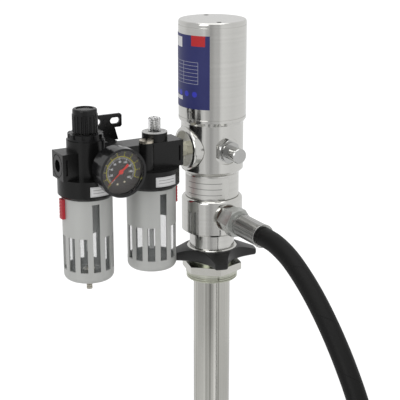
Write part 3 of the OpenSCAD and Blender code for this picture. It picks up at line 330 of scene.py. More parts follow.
def hose_rubber():
    f = Finish("hose_rubber", (0.007, 0.007, 0.007), 0.5, Specular_IOR_Level=0.15)
    u, v, _ = f.split(f.out("ShaderNodeUVMap"))
    around = 2 * math.pi * HOSE_D / 2
    turn = (v / TAPE_TURN + u / around).fraction()
    seam = (1 - ((turn - 0.5).absolute() * 120)).clamped()
    lap = turn * 0.12
    weave = ((u * 2 * math.pi / WEAVE).sine() * (v * 2 * math.pi / WEAVE).sine()) * 0.5 + 0.5
    dust = f.noise(f.objects, 9, 4)
    cover = f.mix(dust * 0.5 + weave * 0.15, (0.0045, 0.0045, 0.0045), (0.0095, 0.0095, 0.009))
    f.put("Base Color", f.mix(seam * 0.8, cover, (0.003, 0.003, 0.003)))
    f.put("Roughness", 0.4 + dust * 0.2)
    return f.bump(lap + weave * 0.1 - seam * 0.9, 0.00035).material


hose = sweep("hose", path, HOSE_D / 2, HOSE_SIDES, hose_rubber())
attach(hose, "pump")
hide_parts("hose_tube", "hose_coil")
print("hose faces", len(hose.data.polygons))

# %% [markdown]
# A polished turned part carries fine rings left by the tool. They run round its axis, so the pattern
# needs one number only: the distance along the axis plus the distance from it. That gives rings on
# the sides and on the flat ends alike. Each part of the pump has its own axis, so one function
# makes the finish for any axis and centre.

# %% Turned metal
ALONG_Z, ALONG_X, ALONG_Y = (0, 0, 0), (0, math.radians(90), 0), (math.radians(90), 0, 0)
FINE_RINGS, COARSE_RINGS, SMUDGES = 2600, 260, 28


def shade(colour, factor):
    return tuple(c * factor for c in colour)


def turned_metal(name, colour, rough, turn=ALONG_Z, centre=(0, 0, 0), depth=0.00002, grey=0.06, wear=0.06,
                 shine=1.0):
    f = Finish(name, colour, rough, shine)
    x, y, z = f.split(f.at(centre, turn))
    ring = z + (x * x + y * y).power(0.5)
    fine = f.noise(None, FINE_RINGS, 2, dimensions="1D", w=ring)
    coarse = f.noise(None, COARSE_RINGS, 3, dimensions="1D", w=ring)
    smudge = f.noise(f.objects, SMUDGES, 4, 0.6)
    light = tuple(min(1, c) for c in shade(colour, 1 + grey))
    f.put("Base Color", f.mix(coarse * 0.5 + smudge * 0.5, shade(colour, 1 - grey * 2.4), light))
    f.put("Roughness", rough - wear + fine * wear + smudge * wear * 1.4)
    return f.bump(fine * 0.6 + coarse * 0.4, depth, 0.6).material


OUTLET_Z, PORT_Z = 0.0693, 0.1457
STEEL = (0.66, 0.655, 0.63)
finishes = {}
finishes["barrel"] = turned_metal("barrel_steel", STEEL, 0.13, depth=0.000008)
finishes["body"] = turned_metal("body_steel", STEEL, 0.13, depth=0.00001)
finishes["inlet"] = turned_metal("inlet_brass", (0.86, 0.84, 0.7), 0.3, ALONG_X, (-0.03, 0, PORT_Z),
                                 shine=0.4)
finishes["silencer"] = turned_metal("silencer_steel", (0.52, 0.52, 0.51), 0.14, ALONG_Y, (0, -0.04, PORT_Z))
finishes["plug"] = turned_metal("fill_plug_nickel", (0.6, 0.55, 0.46), 0.3, ALONG_Z, (-0.0894, -0.0143, 0))
finishes["drain"] = turned_metal("drain_nickel", (0.5, 0.48, 0.42), 0.3, ALONG_Z, (-0.154, 0, 0))
finishes["outlet"] = turned_metal("fitting_zinc", (0.5, 0.51, 0.49), 0.2, ALONG_Y, (0, -0.04, OUTLET_Z),
                                  grey=0.2, shine=0.7)
finishes["bright"] = turned_metal("ground_steel", (0.62, 0.62, 0.62), 0.1)
finishes["alloy"] = turned_metal("turned_alloy", (0.6, 0.61, 0.62), 0.3)
finishes["brass"] = turned_metal("turned_brass", (0.62, 0.42, 0.14), 0.25)
print("metals", len(finishes))

# %% [markdown]
# The inside of the air inlet's dish has a pale, rougher and less metallic finish than the polished
# body: a painted reflection of the pale room that the polished face mirrors there. It belongs to the
# same solid as the polished body, and the finish finds it by its place: within the dish's radius of
# the inlet's axis, and short of its rim. The suction tube is drawn through a die, which leaves streaks
# along it: they depend only on the bearing round its axis. Four bright and dark bands at listed
# bearings, on the side that faces the camera, are painted reflection. The bung fitting is plated, so
# its faces differ: bright on the hexagon's sides, dark on its top as a painted reflection of the black
# star nut, and oily on the thread below it.

# %% Motor body, suction tube and bung
DISH_R, DISH_FROM, DISH_TO = 0.0201, -0.0362, -0.024
# Bearings of the painted reflection bands on the suction tube, round the camera's bearing.
PAINTED_TUBE_BANDS = [(-109, 6, 0.6), (-97, 3.5, -0.6), (-136, 7, -0.35), (-124, 5, -0.65)]
BUNG_THREAD_Z, BUNG_TOP_Z = 0.0001, 0.0086


def motor_steel():
    f = Finish("motor_steel", STEEL, 0.09, 1.0)
    x, y, z = f.split(f.objects)
    off_axis = (y * y + (z - PORT_Z) * (z - PORT_Z)).power(0.5)
    # Painted reflection: inside the dish the face is pale and less metallic, standing for the pale room it
    # mirrors.
    painted_reflection_dish = (off_axis < DISH_R) * (x < DISH_TO) * (x > DISH_FROM)
    ring = z + (x * x + y * y).power(0.5)
    fine = f.noise(None, FINE_RINGS, 2, dimensions="1D", w=ring)
    smudge = f.noise(f.objects, SMUDGES, 4, 0.6)
    polished = f.mix(fine * 0.4 + smudge * 0.5, shade(STEEL, 0.88), shade(STEEL, 1.05))
    f.put("Base Color", f.mix(painted_reflection_dish, polished, (0.86, 0.855, 0.82)))
    f.put("Metallic", 1 - painted_reflection_dish * 0.7)
    f.put("Roughness", 0.08 + fine * 0.04 + smudge * 0.06 + painted_reflection_dish * 0.3)
    return f.bump(fine, 0.00001, 0.6).material


def drawn_tube():
    """Each painted band is a bright or dark stripe of painted reflection, near the bearing that faces the
    camera: its bearing and half width in degrees, and how much it brightens the steel.
    """
    f = Finish("tube_steel", (0.6, 0.6, 0.585), 0.12, 1.0)
    x, y, _ = f.split(f.objects)
    bearing = y.math("ARCTAN2", y, x) + f.noise(f.objects, 3, 1) * 0.02

    def die_mark(degree, width):
        return (1 - ((bearing - math.radians(degree)) / math.radians(width)).absolute()).clamped()

    streak = f.noise(None, 5, 4, 0.6, dimensions="1D", w=bearing)
    hair = f.noise(None, 160, 2, dimensions="1D", w=bearing)
    smudge = f.noise(f.objects, 18, 4, 0.6)
    tone = 0.5 + (streak - 0.5) * 0.8 + (hair - 0.5) * 0.25 + (smudge - 0.5) * 0.15
    # The four bands are painted reflection: bright and dark stripes where the tube faces the camera.
    for degree, width, strength in PAINTED_TUBE_BANDS:
        tone = tone + die_mark(degree, width) * strength
    f.put("Base Color", f.mix(tone.clamped(), (0.28, 0.278, 0.255), (0.76, 0.752, 0.71)))
    f.put("Roughness", 0.08 + hair * 0.08 + smudge * 0.08)
    return f.bump(hair, 0.000004, 0.6).material


def bung_zinc():
    """Plated steel: bright on the hexagon's sides, dark on its top as a painted reflection of the black
    star nut, oily on the thread below it.
    """
    f = Finish("bung_zinc", (0.62, 0.61, 0.56), 0.18, 1.0)
    z = f.split(f.objects)[2]
    thread, top = z < BUNG_THREAD_Z, z > BUNG_TOP_Z
    smudge = f.noise(f.objects, 40, 4, 0.6)
    bright = f.mix(smudge, (0.56, 0.55, 0.51), (0.66, 0.655, 0.62))
    # Painted reflection: the top is darkened where it mirrors the black star nut.
    star_reflection_top = f.mix(smudge, (0.2, 0.21, 0.17), (0.44, 0.45, 0.38))
    oily = f.mix(smudge, (0.42, 0.43, 0.36), (0.72, 0.73, 0.64))
    f.put("Base Color", f.mix(thread, f.mix(top, bright, star_reflection_top), oily))
    f.put("Metallic", 1 - thread * 0.25)
    return f.put("Roughness", 0.14 + smudge * 0.08 + thread * 0.06).material


finishes["motor"], finishes["tube"], finishes["bung"] = motor_steel(), drawn_tube(), bung_zinc()

# %% [markdown]
# The crimped ferrule has long shallow dents from the crimping jaws, and its zinc is greyer than the
# rest. The dents are shape, and come later. The finish adds the bright and dull streaks that the
# jaws draw lengthwise: they depend on the bearing round the ferrule's axis, with some scuffs over them.

# %% Crimped zinc
def crimped_zinc(name, centre, turn):
    f = Finish(name, (0.45, 0.45, 0.44), 0.25, 1.0)
    x, y, _ = f.split(f.at(centre, turn))
    streak = f.noise(None, 9, 3, 0.6, dimensions="1D", w=y.math("ARCTAN2", y, x))
    scuff = f.noise(f.at(centre, turn, (1, 1, 40)), 300, 3, 0.6)
    tone = (0.5 + (streak - 0.5) * 1.9 + (scuff - 0.5) * 0.5).clamped()
    f.put("Base Color", f.mix(tone, (0.2, 0.2, 0.195), (0.66, 0.66, 0.64)))
    f.put("Roughness", 0.22 + scuff * 0.14)
    return f.bump(scuff, 0.000006).material


finishes["ferrule"] = crimped_zinc("ferrule_zinc", (0, -0.08, OUTLET_Z), ALONG_Y)
finishes["end_ferrule"] = crimped_zinc("end_ferrule_zinc", (-0.2, -0.334, -0.8141), ALONG_X)


# %% [markdown]
# The air units are cast in zinc and powder coated in satin black. The coat has a fine orange peel,
# and dust lies on it as a faint lighter cloud. The knob, its nut and the star nut are moulded nylon,
# with a finer grain. The silver guards, the red latches, the seals and the dial are the same finish
# in other colours, with more or less gloss and grain.

# %% Black coats and plastics
def grained(name, colour, rough, grain, depth, cloud=0.5, **sockets):
    f = Finish(name, colour, rough, **sockets)
    peel = f.noise(f.objects, grain, 2, 0.6)
    dust = f.noise(f.objects, 24, 4, 0.6)
    f.put("Base Color", f.mix(dust, colour, shade(colour, 1 + cloud)))
    f.put("Roughness", rough - 0.06 + dust * 0.12)
    return f.bump(peel, depth, 0.7).material


finishes["coat"] = grained("black_coat", (0.0045, 0.0045, 0.0045), 0.25, 1500, 0.00004,
                           Specular_IOR_Level=0.32)
finishes["nylon"] = grained("black_nylon", (0.0045, 0.0045, 0.0048), 0.27, 2600, 0.00003,
                            Specular_IOR_Level=0.32)
finishes["bezel"] = grained("black_bezel", (0.0045, 0.0045, 0.0048), 0.16, 900, 0.00001,
                            Specular_IOR_Level=0.45)
finishes["star"] = grained("star_nylon", (0.008, 0.008, 0.008), 0.38, 2200, 0.00008, 0.35,
                           Specular_IOR_Level=0.4)
finishes["guard"] = grained("silver_coat", (0.47, 0.475, 0.46), 0.42, 2400, 0.00006, 0.08, metallic=0.35)
finishes["red"] = grained("red_plastic", (0.38, 0.006, 0.016), 0.3, 1800, 0.00004, 0.2)
finishes["seal"] = grained("seal_rubber", (0.014, 0.013, 0.012), 0.6, 1500, 0.00006)
finishes["filter"] = grained("filter_plastic", (0.66, 0.66, 0.65), 0.6, 900, 0.0001, 0.1)
finishes["dial"] = grained("dial_paint", (0.075, 0.07, 0.066), 0.45, 2000, 0.00002, 0.12)
finishes["needle"] = grained("needle_paint", (0.78, 0.075, 0.06), 0.4, 2000, 0.00002, 0.05)
print("coats and plastics", len(finishes))

# %% [markdown]
# The sight dome's black collar is painted pale on its flat top, and only there: a painted highlight of
# the overhead light. The finish finds the top by its height, with a short ramp in place of a hard edge.

# %% Collar with painted top highlight
COLLAR_TOP, COLLAR_FADE = 0.1698, 0.0006
COLLAR_RAMP = 2500


def worn_collar():
    f = Finish("collar_nylon", (0.005, 0.005, 0.005), 0.3, Specular_IOR_Level=0.3)
    top = ((f.split(f.objects)[2] - (COLLAR_TOP - COLLAR_FADE)) * COLLAR_RAMP).clamped()
    dust = f.noise(f.objects, 300, 3, 0.6)
    # Painted highlight: the flat top is pale where the overhead light would shine on it.
    pale = f.mix(dust, (0.28, 0.28, 0.275), (0.64, 0.64, 0.62))
    f.put("Base Color", f.mix(top, (0.005, 0.005, 0.005), pale))
    return f.put("Roughness", top * 0.15 + 0.3).material


finishes["collar"] = worn_collar()
print("collar finish", finishes["collar"].name)

# %% [markdown]
# The sight dome and the gauge's window are clear moulded plastic. They are closed shells with real
# thickness, so a transmitting shader bends light through both walls by itself. The bowls are thin and
# bend little, so a low alpha is enough for them, and it lets the light in to what they hold.

# %% Clear plastic
def clear_plastic(name, colour, rough, bend):
    f = Finish(name, colour, rough, Transmission_Weight=1.0, IOR=bend)
    haze = f.noise(f.objects, 60, 3)
    f.put("Roughness", rough * 0.5 + haze * rough)
    return f.material


finishes["bowl"] = Finish("clear_bowl", (0.38, 0.4, 0.4), 0.08, Alpha=0.14).material
finishes["dome"] = clear_plastic("clear_dome", (0.93, 0.93, 0.93), 0.02, 1.45)
finishes["window"] = clear_plastic("clear_window", (0.98, 0.98, 0.98), 0.02, 1.2)
print("finishes", len(finishes))

# %% [markdown]
# Each solid of the CAD model now gets its finish. One table says which piece wears what, so that a
# finish is changed in one place.

# %% Dress the solids
WEARS = {
    "barrel": ["air_cylinder", "cylinder_cap"],
    "motor": ["motor_body"],
    "body": ["neck_sleeve", "outlet_body", "tube_collar", "foot_valve_body", "foot_strainer", "thrust_ring"],
    "tube": ["suction_tube"],
    "alloy": ["air_piston", "pump_plunger"],
    "bright": ["piston_rod", "valve_spool", "plunger_ball", "foot_ball", "adjusting_spindle"],
    "brass": ["rod_gland", "regulator_valve"],
    "plug": ["fill_plug"],
    "drain": ["drain_valve"],
    "inlet": ["inlet_nipple", "inlet_union_nut"],
    "silencer": ["silencer_nut", "silencer_tube", "silencer_cap"],
    "outlet": ["outlet_adaptor", "hose_swivel_nut", "end_swivel_nut"],
    "bung": ["bung_adaptor"],
    "coat": ["filter_body", "lubricator_body", "mounting_bracket"],
    "nylon": ["bonnet_nut", "pressure_knob"],
    "bezel": ["gauge_case"],
    "collar": ["sight_collar"],
    "guard": ["filter_guard", "lubricator_guard"],
    "red": ["filter_latch", "lubricator_latch"],
    "seal": ["piston_seal", "grip_seal", "diaphragm"],
    "filter": ["filter_element", "oil_pickup_tube"],
    "dial": ["gauge_dial"],
    "needle": ["gauge_needle"],
    "bowl": ["filter_bowl", "lubricator_bowl"],
    "dome": ["sight_dome"],
    "window": ["gauge_lens"],
}
for finish, names in WEARS.items():
    for name in names:
        mesh = nodes[name].data
        if not mesh.materials:
            mesh.materials.append(None)
        for index in range(len(mesh.materials)):
            mesh.materials[index] = finishes[finish]
print("dressed", sum(len(v) for v in WEARS.values()))


# %% [markdown]
# A ferrule is turned from bar and then crimped by eight jaws, which leave eight long flats with
# ridges between them. Its mesh is a ring of profile points turned about its axis, with the radius
# pressed in by the jaws along the crimped stretch.

# %% Ferrules
def about_axis(name, start, way, side, profile, steps, material, radius_at):
    """Turns a closed profile of (distance along, radius) round an axis; radius_at may vary the radius."""
    way, side = Vector(way), Vector(side)
    up = way.cross(side)
    points = []
    for along, radius in profile:
        for k in range(steps):
            a = 2 * math.pi * k / steps
            r = radius_at(along, radius, a)
            points.append(Vector(start) + way * along + r * (math.cos(a) * side + math.sin(a) * up))
    rows = len(profile)
    faces = [(i * steps + k, ((i + 1) % rows) * steps + k, ((i + 1) % rows) * steps + (k + 1) % steps,
              i * steps + (k + 1) % steps) for i in range(rows) for k in range(steps)]
    obj = new_piece(name, points, faces, material)
    mend_normals(obj)
    return obj


def mend_normals(obj, crease=35):
    """Turns every face outwards, and keeps edges sharper than crease degrees crisp."""
    bm = bmesh.new()
    bm.from_mesh(obj.data)
    bmesh.ops.recalc_face_normals(bm, faces=bm.faces)
    bm.to_mesh(obj.data)
    bm.free()
    if crease:
        obj.data.set_sharp_from_angle(angle=math.radians(crease))


JAWS = 8
CRIMP_FROM, CRIMP_TO, CRIMP_FADE, CRIMP_DEPTH = 0.0026, 0.0378, 0.002, 0.0004
FERRULE_FROM, FERRULE_H, FERRULE_STEPS = 0.0686, 0.0414, 128
OUTER_SKIN_R = 0.011


def crimped(along, radius, angle):
    """The radius after crimping. The bore, inside OUTER_SKIN_R, keeps its own."""
    if radius < OUTER_SKIN_R or along < CRIMP_FROM or along > CRIMP_TO:
        return radius
    ends = min(1, (along - CRIMP_FROM) / CRIMP_FADE, (CRIMP_TO - along) / CRIMP_FADE)
    flat = abs(math.cos(JAWS / 2 * angle)) ** 0.6
    return radius - CRIMP_DEPTH * max(0, ends) * flat


FERRULE = [(-0.0134, 0.00555), (-0.0134, 0.00713), (-0.0009, 0.00713), (-0.0009, 0.0122), (0.0, 0.0124),
           (0.0003, 0.0126), (0.0006, 0.0127), (0.002, 0.0127), (0.0026, 0.0127), (0.0036, 0.0127),
           (0.005, 0.0127), (0.021, 0.0127), (0.035, 0.0127), (0.0365, 0.0127), (0.0378, 0.0127),
           (0.0396, 0.0127), (0.0398, 0.0129), (0.0401, 0.013), (0.0411, 0.013), (FERRULE_H, 0.0128),
           (FERRULE_H, 0.0106), (FERRULE_H, 0.00555)]
ferrule = about_axis("crimped_ferrule", (0, -FERRULE_FROM, OUTLET_Z), (0, -1, 0), (1, 0, 0), FERRULE,
                     FERRULE_STEPS, finishes["ferrule"], crimped)
hose_end = route[-1]
end_ferrule = about_axis("crimped_end_ferrule", hose_end - Vector((FERRULE_H, 0, 0)), (1, 0, 0), (0, 0, 1),
                         FERRULE, FERRULE_STEPS, finishes["end_ferrule"], crimped)
for piece, node in ((ferrule, "hose_ferrule"), (end_ferrule, "end_ferrule")):
    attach(piece, "pump")
    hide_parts(node)
print("ferrules", len(ferrule.data.polygons))

# %% [markdown]
# The star nut is one nylon moulding: a hub, and four arms that droop and thin towards their tips,
# with a round hollow between each two. Its outline is a rule: the reach of an arm's tip, or
# the circle that cuts the hollow, whichever is nearer. A soft minimum of the two rounds the tip's
# corners. The lower edge is rounded by drawing the same outline in, row by row.

# %% Star nut
STAR_ARMS, STAR_TURN, STAR_REACH, STAR_TIP = 4, math.radians(-107), 0.0512, 0.0164
STAR_WAIST, STAR_HUB, STAR_H, STAR_TIP_H, STAR_Z = 0.030, 0.031, 0.0144, 0.0072, 0.0134
STAR_BORE, STAR_POCKET, POCKET_Z = 0.02536, 0.02875, 0.0123
TIP_BLEND, EDGE_ROUND, EDGE_ROWS = 0.01, 0.003, (0, 0.4, 0.8, 1.2, math.pi / 2)
STAR_STEPS, STAR_SLOPES, LEAST_SLOPE = 384, 7, 0.0008
STAR_BEVEL, STAR_BEVEL_ROWS, STAR_CREASE = 0.0011, 3, 38
half_step = math.pi / STAR_ARMS
corner_x = STAR_REACH * math.cos(half_step) + STAR_TIP / 2 * math.sin(half_step)
corner_y = STAR_REACH * math.sin(half_step) - STAR_TIP / 2 * math.cos(half_step)
cut_x = (corner_x ** 2 + corner_y ** 2 - STAR_WAIST ** 2) / (2 * (corner_x - STAR_WAIST))
cut_r = cut_x - STAR_WAIST


def star_radius(angle, inset=0):
    """The outline's distance from the axis at a bearing, drawn in by inset all round."""
    reach, round_cut = STAR_REACH - inset, cut_r + inset
    off_arm = abs((angle - STAR_TURN + half_step) % (2 * half_step) - half_step)
    off_cut = half_step - off_arm
    under = round_cut ** 2 - (cut_x * math.sin(off_cut)) ** 2
    if under <= 0:
        return reach
    cut = cut_x * math.cos(off_cut) - math.sqrt(under)
    near = max(0, 1 - abs(cut - reach) / TIP_BLEND)
    return min(reach, cut) - near * near * TIP_BLEND / 4


def star_top(r):
    share = max(0, (r - STAR_HUB) / (STAR_REACH - STAR_HUB))
    return STAR_Z + STAR_H - (STAR_H - STAR_TIP_H) * share


def star_nut():
    points = []
    for k in range(STAR_STEPS):
        a = 2 * math.pi * k / STAR_STEPS
        reach = star_radius(a)
        hub = min(STAR_HUB, reach - LEAST_SLOPE)
        row = [(STAR_BORE, STAR_Z), (STAR_BORE, STAR_Z + POCKET_Z), (STAR_POCKET, STAR_Z + POCKET_Z),
               (STAR_POCKET, STAR_Z + STAR_H)]
        slope = [hub + (reach - hub) * s / STAR_SLOPES for s in range(STAR_SLOPES + 1)]
        row += [(r, star_top(r)) for r in slope]
        row += [(star_radius(a, EDGE_ROUND * (1 - math.cos(w))), STAR_Z + EDGE_ROUND * (1 - math.sin(w)))
                for w in EDGE_ROWS]
        points += [(r * math.cos(a), r * math.sin(a), z) for r, z in row]
    rows = len(row)
    faces = [(k * rows + i, k * rows + (i + 1) % rows, ((k + 1) % STAR_STEPS) * rows + (i + 1) % rows,
              ((k + 1) % STAR_STEPS) * rows + i) for k in range(STAR_STEPS) for i in range(rows)]
    obj = new_piece("star_hand_nut", points, faces, finishes["star"])
    mend_normals(obj, crease=0)
    bevel = obj.modifiers.new("rounded edges", "BEVEL")
    bevel.width, bevel.segments, bevel.limit_method = STAR_BEVEL, STAR_BEVEL_ROWS, "ANGLE"
    bevel.angle_limit = math.radians(STAR_CREASE)
    return obj


star = star_nut()
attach(star, "star")
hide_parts("star_nut")
print("star nut", len(star.data.polygons))

# %% [markdown]
# The labels are printed foils stuck on curved faces. Each is a thin bent sheet with a UV map in
# millimetres, measured from its right-hand lower corner, so that a printed box is a product of
# four comparisons. All the print here is blank or ruled.

# %% Bent label sheets
def bent_label(name, centre, radius, low, high, first, last, material):
    """A thin sheet on a cylinder, from the angle first to last, in degrees."""
    steps, thick, gap = max(8, round(last - first)), 0.0003, 0.00002
    points, place = [], []
    for i in range(steps + 1):
        a = math.radians(first + (last - first) * i / steps)
        for r in (radius + gap, radius + gap + thick):
            for z in (low, high):
                points.append((centre[0] + r * math.cos(a), centre[1] + r * math.sin(a), z))
                place.append(((math.radians(last) - a) * radius / MM, (z - low) / MM))
    faces = []
    for i in range(steps):
        p, q = 4 * i, 4 * i + 4
        faces += [(p + 2, q + 2, q + 3, p + 3), (p, p + 1, q + 1, q),
                  (p, q, q + 2, p + 2), (p + 1, p + 3, q + 3, q + 1)]
    end = 4 * steps
    faces += [(0, 2, 3, 1), (end, end + 1, end + 3, end + 2)]
    obj = new_piece(name, points, faces, material, lambda vertex, loop: place[vertex])
    mend_normals(obj)
    return obj


def box_mask(u, v, left, right, low, high):
    return (u > left) * (u < right) * (v > low) * (v < high)


def frame_lines(u, v, left, right, low, high, width):
    return (box_mask(u, v, left, right, low, high)
            - box_mask(u, v, left + width, right - width, low + width, high - width))


# %% [markdown]
# The cylinder's panel is dark blue, with a red box, a ruled table, a row of discs and two pale blocks
# where the real one carries print. Each box is its left, right, lower and upper edge in millimetres.

# %% Cylinder panel
PANEL_RED, PANEL_TABLE = (5.0, 21.4, 68.6, 81), (12.9, 80, 27.4, 51.4)
TABLE_COLUMN, TABLE_LINE, TABLE_ROW = (33.0, 33.6, 27.4, 51.4), 0.45, 4
DISC_X, DISC_Y, DISC_PITCH, DISC_R_SQUARED = 17.3, 16.2, 11, 9.4
DISCS_FROM, DISCS_TO = 11, 56
PALE_BLOCKS = (35.5, 56, 8.2, 12.6), (36, 62, 66, 77)


def panel_foil():
    f = Finish("panel_foil", (0.024, 0.028, 0.12), 0.42, Specular_IOR_Level=0.3)
    u, v, _ = f.split(f.out("ShaderNodeUVMap"))
    dust = f.noise(f.objects, 40, 3)
    colour = f.mix(dust, (0.019, 0.023, 0.11), (0.027, 0.031, 0.132))
    red = box_mask(u, v, *PANEL_RED)
    table = frame_lines(u, v, *PANEL_TABLE, TABLE_LINE)
    row = (v - PANEL_TABLE[2]) / TABLE_ROW
    table = table + (1 - ((row.fraction() - 0.5).absolute() < 0.445)) * box_mask(u, v, *PANEL_TABLE)
    table = table + box_mask(u, v, *TABLE_COLUMN)
    across = (((u - DISC_X + DISC_PITCH / 2) / DISC_PITCH).fraction() - 0.5) * DISC_PITCH
    up = v - DISC_Y
    discs = ((across * across + up * up) < DISC_R_SQUARED) * (u < DISCS_TO) * (u > DISCS_FROM)
    block = box_mask(u, v, *PALE_BLOCKS[0]) + box_mask(u, v, *PALE_BLOCKS[1])
    colour = f.mix(red, colour, (0.43, 0.018, 0.022))
    colour = f.mix(table.clamped() * 0.75, colour, (0.42, 0.43, 0.5))
    colour = f.mix(discs, colour, (0.035, 0.04, 0.42))
    colour = f.mix(block.clamped(), colour, (0.62, 0.62, 0.63))
    return f.put("Base Color", colour).put("Roughness", 0.36 + dust * 0.12).material


BARREL_R, BARREL_Z = 0.0375, 0.1737
PANEL_LOW, PANEL_HIGH, PANEL_FIRST, PANEL_LAST = 0.0194, 0.0994, 99, 236
panel = bent_label("cylinder_panel", (0, 0), BARREL_R, BARREL_Z + PANEL_LOW, BARREL_Z + PANEL_HIGH,
                   PANEL_FIRST, PANEL_LAST, panel_foil())
print("panel", len(panel.data.polygons))

# %% [markdown]
# The neck carries a bright metal foil, and each air unit a slip of white paper. Both are ruled, not
# lettered. The paper's rules are worked out from its own width and height, and the foil's are listed.

# %% Small labels
BORDER_IN, BORDER_LINE, RULE_IN, RULE_HALF, RULES_AT = 0.7, 0.35, 3, 0.3, (0.36, 0.66)
FOIL_RULED, FOIL_ROW, FOIL_ROW_FROM, FOIL_RULE_HALF = (8, 50, 2.5, 22), 6.6, 0.8, 0.05


def ruled_paper(name, wide, high):
    """Plain white paper with a fine border and two ruled lines, for a name to be written on."""
    f = Finish(name, (0.72, 0.72, 0.72), 0.45)
    u, v, _ = f.split(f.out("ShaderNodeUVMap"))
    border = frame_lines(u, v, BORDER_IN, wide - BORDER_IN, BORDER_IN, high - BORDER_IN, BORDER_LINE)
    lower, upper = ((v - high * share).absolute() < RULE_HALF for share in RULES_AT)
    rules = (lower + upper) * (u > RULE_IN) * (u < wide - RULE_IN)
    dust = f.noise(f.objects, 60, 3)
    base = f.mix(dust * 0.4, (0.74, 0.74, 0.74), (0.64, 0.64, 0.635))
    ink_share = (border * 0.5 + rules * 0.75).clamped()
    return f.put("Base Color", f.mix(ink_share, base, (0.08, 0.08, 0.09))).material


def etched_foil():
    """A thin metal foil, as bright as the neck under it, with three ruled lines."""
    f = Finish("etched_foil", STEEL, 0.16, 0.7)
    u, v, _ = f.split(f.out("ShaderNodeUVMap"))
    rows = (((v - FOIL_ROW_FROM) / FOIL_ROW).fraction() - 0.5).absolute() < FOIL_RULE_HALF
    rows = rows * box_mask(u, v, *FOIL_RULED)
    dust = f.noise(f.objects, 40, 3)
    base = f.mix(dust, shade(STEEL, 0.98), shade(STEEL, 1.1))
    f.put("Base Color", f.mix(rows * 0.8, base, (0.12, 0.12, 0.12)))
    return f.put("Roughness", 0.4 + dust * 0.08 + rows * 0.2).material


NECK_R, NECK_Z, FOIL_LOW, FOIL_HIGH, FOIL_FIRST, FOIL_LAST = 0.0302, 0.0886, 0.002, 0.0255, 167, 277
UNIT_R, LUB_X, FILTER_X, UNIT_LABEL_Z = 0.0313, -0.0772, -0.154, 0.1155
PAPER_FIRST, PAPER_LAST, PAPER_H = 253, 300, 0.0106
neck_label = bent_label("neck_panel", (0, 0), NECK_R, NECK_Z + FOIL_LOW, NECK_Z + FOIL_HIGH,
                        FOIL_FIRST, FOIL_LAST, etched_foil())
white_paper = ruled_paper("white_paper", math.radians(PAPER_LAST - PAPER_FIRST) * UNIT_R / MM, PAPER_H / MM)
unit_labels = [bent_label("unit_label_" + name, (x, 0), UNIT_R, UNIT_LABEL_Z, UNIT_LABEL_Z + PAPER_H,
                          PAPER_FIRST, PAPER_LAST, white_paper)
               for name, x in (("filter", FILTER_X), ("lubricator", LUB_X))]
for label in [panel, neck_label] + unit_labels:
    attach(label, "pump")
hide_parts("blank_labels")
print("labels", 2 + len(unit_labels))

# %% [markdown]
# The gauge's dial is printed with two scales. Ticks repeat by a rule, so Geometry Nodes make them:
# points on an arc, a small box on each, turned to face the middle. The sizes are the tree's
# inputs, set once for each scale. The tree ends in Realize Instances and Set Material, and
# its result becomes a plain mesh, because the export drops instances.

# %% Tick tree
def ink(name, colour):
    return grained(name, colour, 0.5, 1500, 0.00001, 0.05)


CREAM_INK = ink("cream_ink", (0.66, 0.6, 0.44))
WHITE_INK, OLIVE_INK = ink("white_ink", (0.75, 0.76, 0.78)), ink("olive_ink", (0.5, 0.46, 0.05))
SCALE_START, INNER_SWEEP, OUTER_SWEEP = math.radians(226), math.radians(-263), math.radians(-250)


def tick_tree():
    tree = bpy.data.node_groups.new("dial ticks", "GeometryNodeTree")
    kinds = {"Count": "NodeSocketInt", "Material": "NodeSocketMaterial"}
    for name in ("Count", "Radius", "Length", "Width", "Thickness", "Sweep", "Material"):
        tree.interface.new_socket(name, in_out="INPUT", socket_type=kinds.get(name, "NodeSocketFloat"))
    tree.interface.new_socket("Geometry", in_out="OUTPUT", socket_type="NodeSocketGeometry")
    given = tree.nodes.new("NodeGroupInput").outputs
    index = Value(tree, tree.nodes.new("GeometryNodeInputIndex").outputs[0])
    angle = SCALE_START + index * Value(tree, given["Sweep"]) / (Value(tree, given["Count"]) - 1)
    radius = Value(tree, given["Radius"])
    x, y = radius * angle.math("COSINE", angle), radius * angle.sine()
    place = Value(tree, make_node(tree, "ShaderNodeCombineXYZ", None, {"X": x, "Y": y}).outputs[0])
    turn = Value(tree, make_node(tree, "ShaderNodeCombineXYZ", None, {"Z": angle}).outputs[0])
    size = Value(tree, make_node(tree, "ShaderNodeCombineXYZ", None, {
        "X": Value(tree, given["Length"]), "Y": Value(tree, given["Width"]),
        "Z": Value(tree, given["Thickness"])}).outputs[0])
    dots = Value(tree, make_node(tree, "GeometryNodePoints", None, {
        "Count": Value(tree, given["Count"]), "Position": place}).outputs[0])
    bar = Value(tree, make_node(tree, "GeometryNodeMeshCube", None, {"Size": size}).outputs[0])
    ticks = Value(tree, make_node(tree, "GeometryNodeInstanceOnPoints", None, {
        "Points": dots, "Instance": bar, "Rotation": turn}).outputs[0])
    real = Value(tree, make_node(tree, "GeometryNodeRealizeInstances", None, {"Geometry": ticks}).outputs[0])
    inked = make_node(tree, "GeometryNodeSetMaterial", None, {
        "Geometry": real, "Material": Value(tree, given["Material"])})
    tree.links.new(inked.outputs[0], tree.nodes.new("NodeGroupOutput").inputs[0])
    return tree


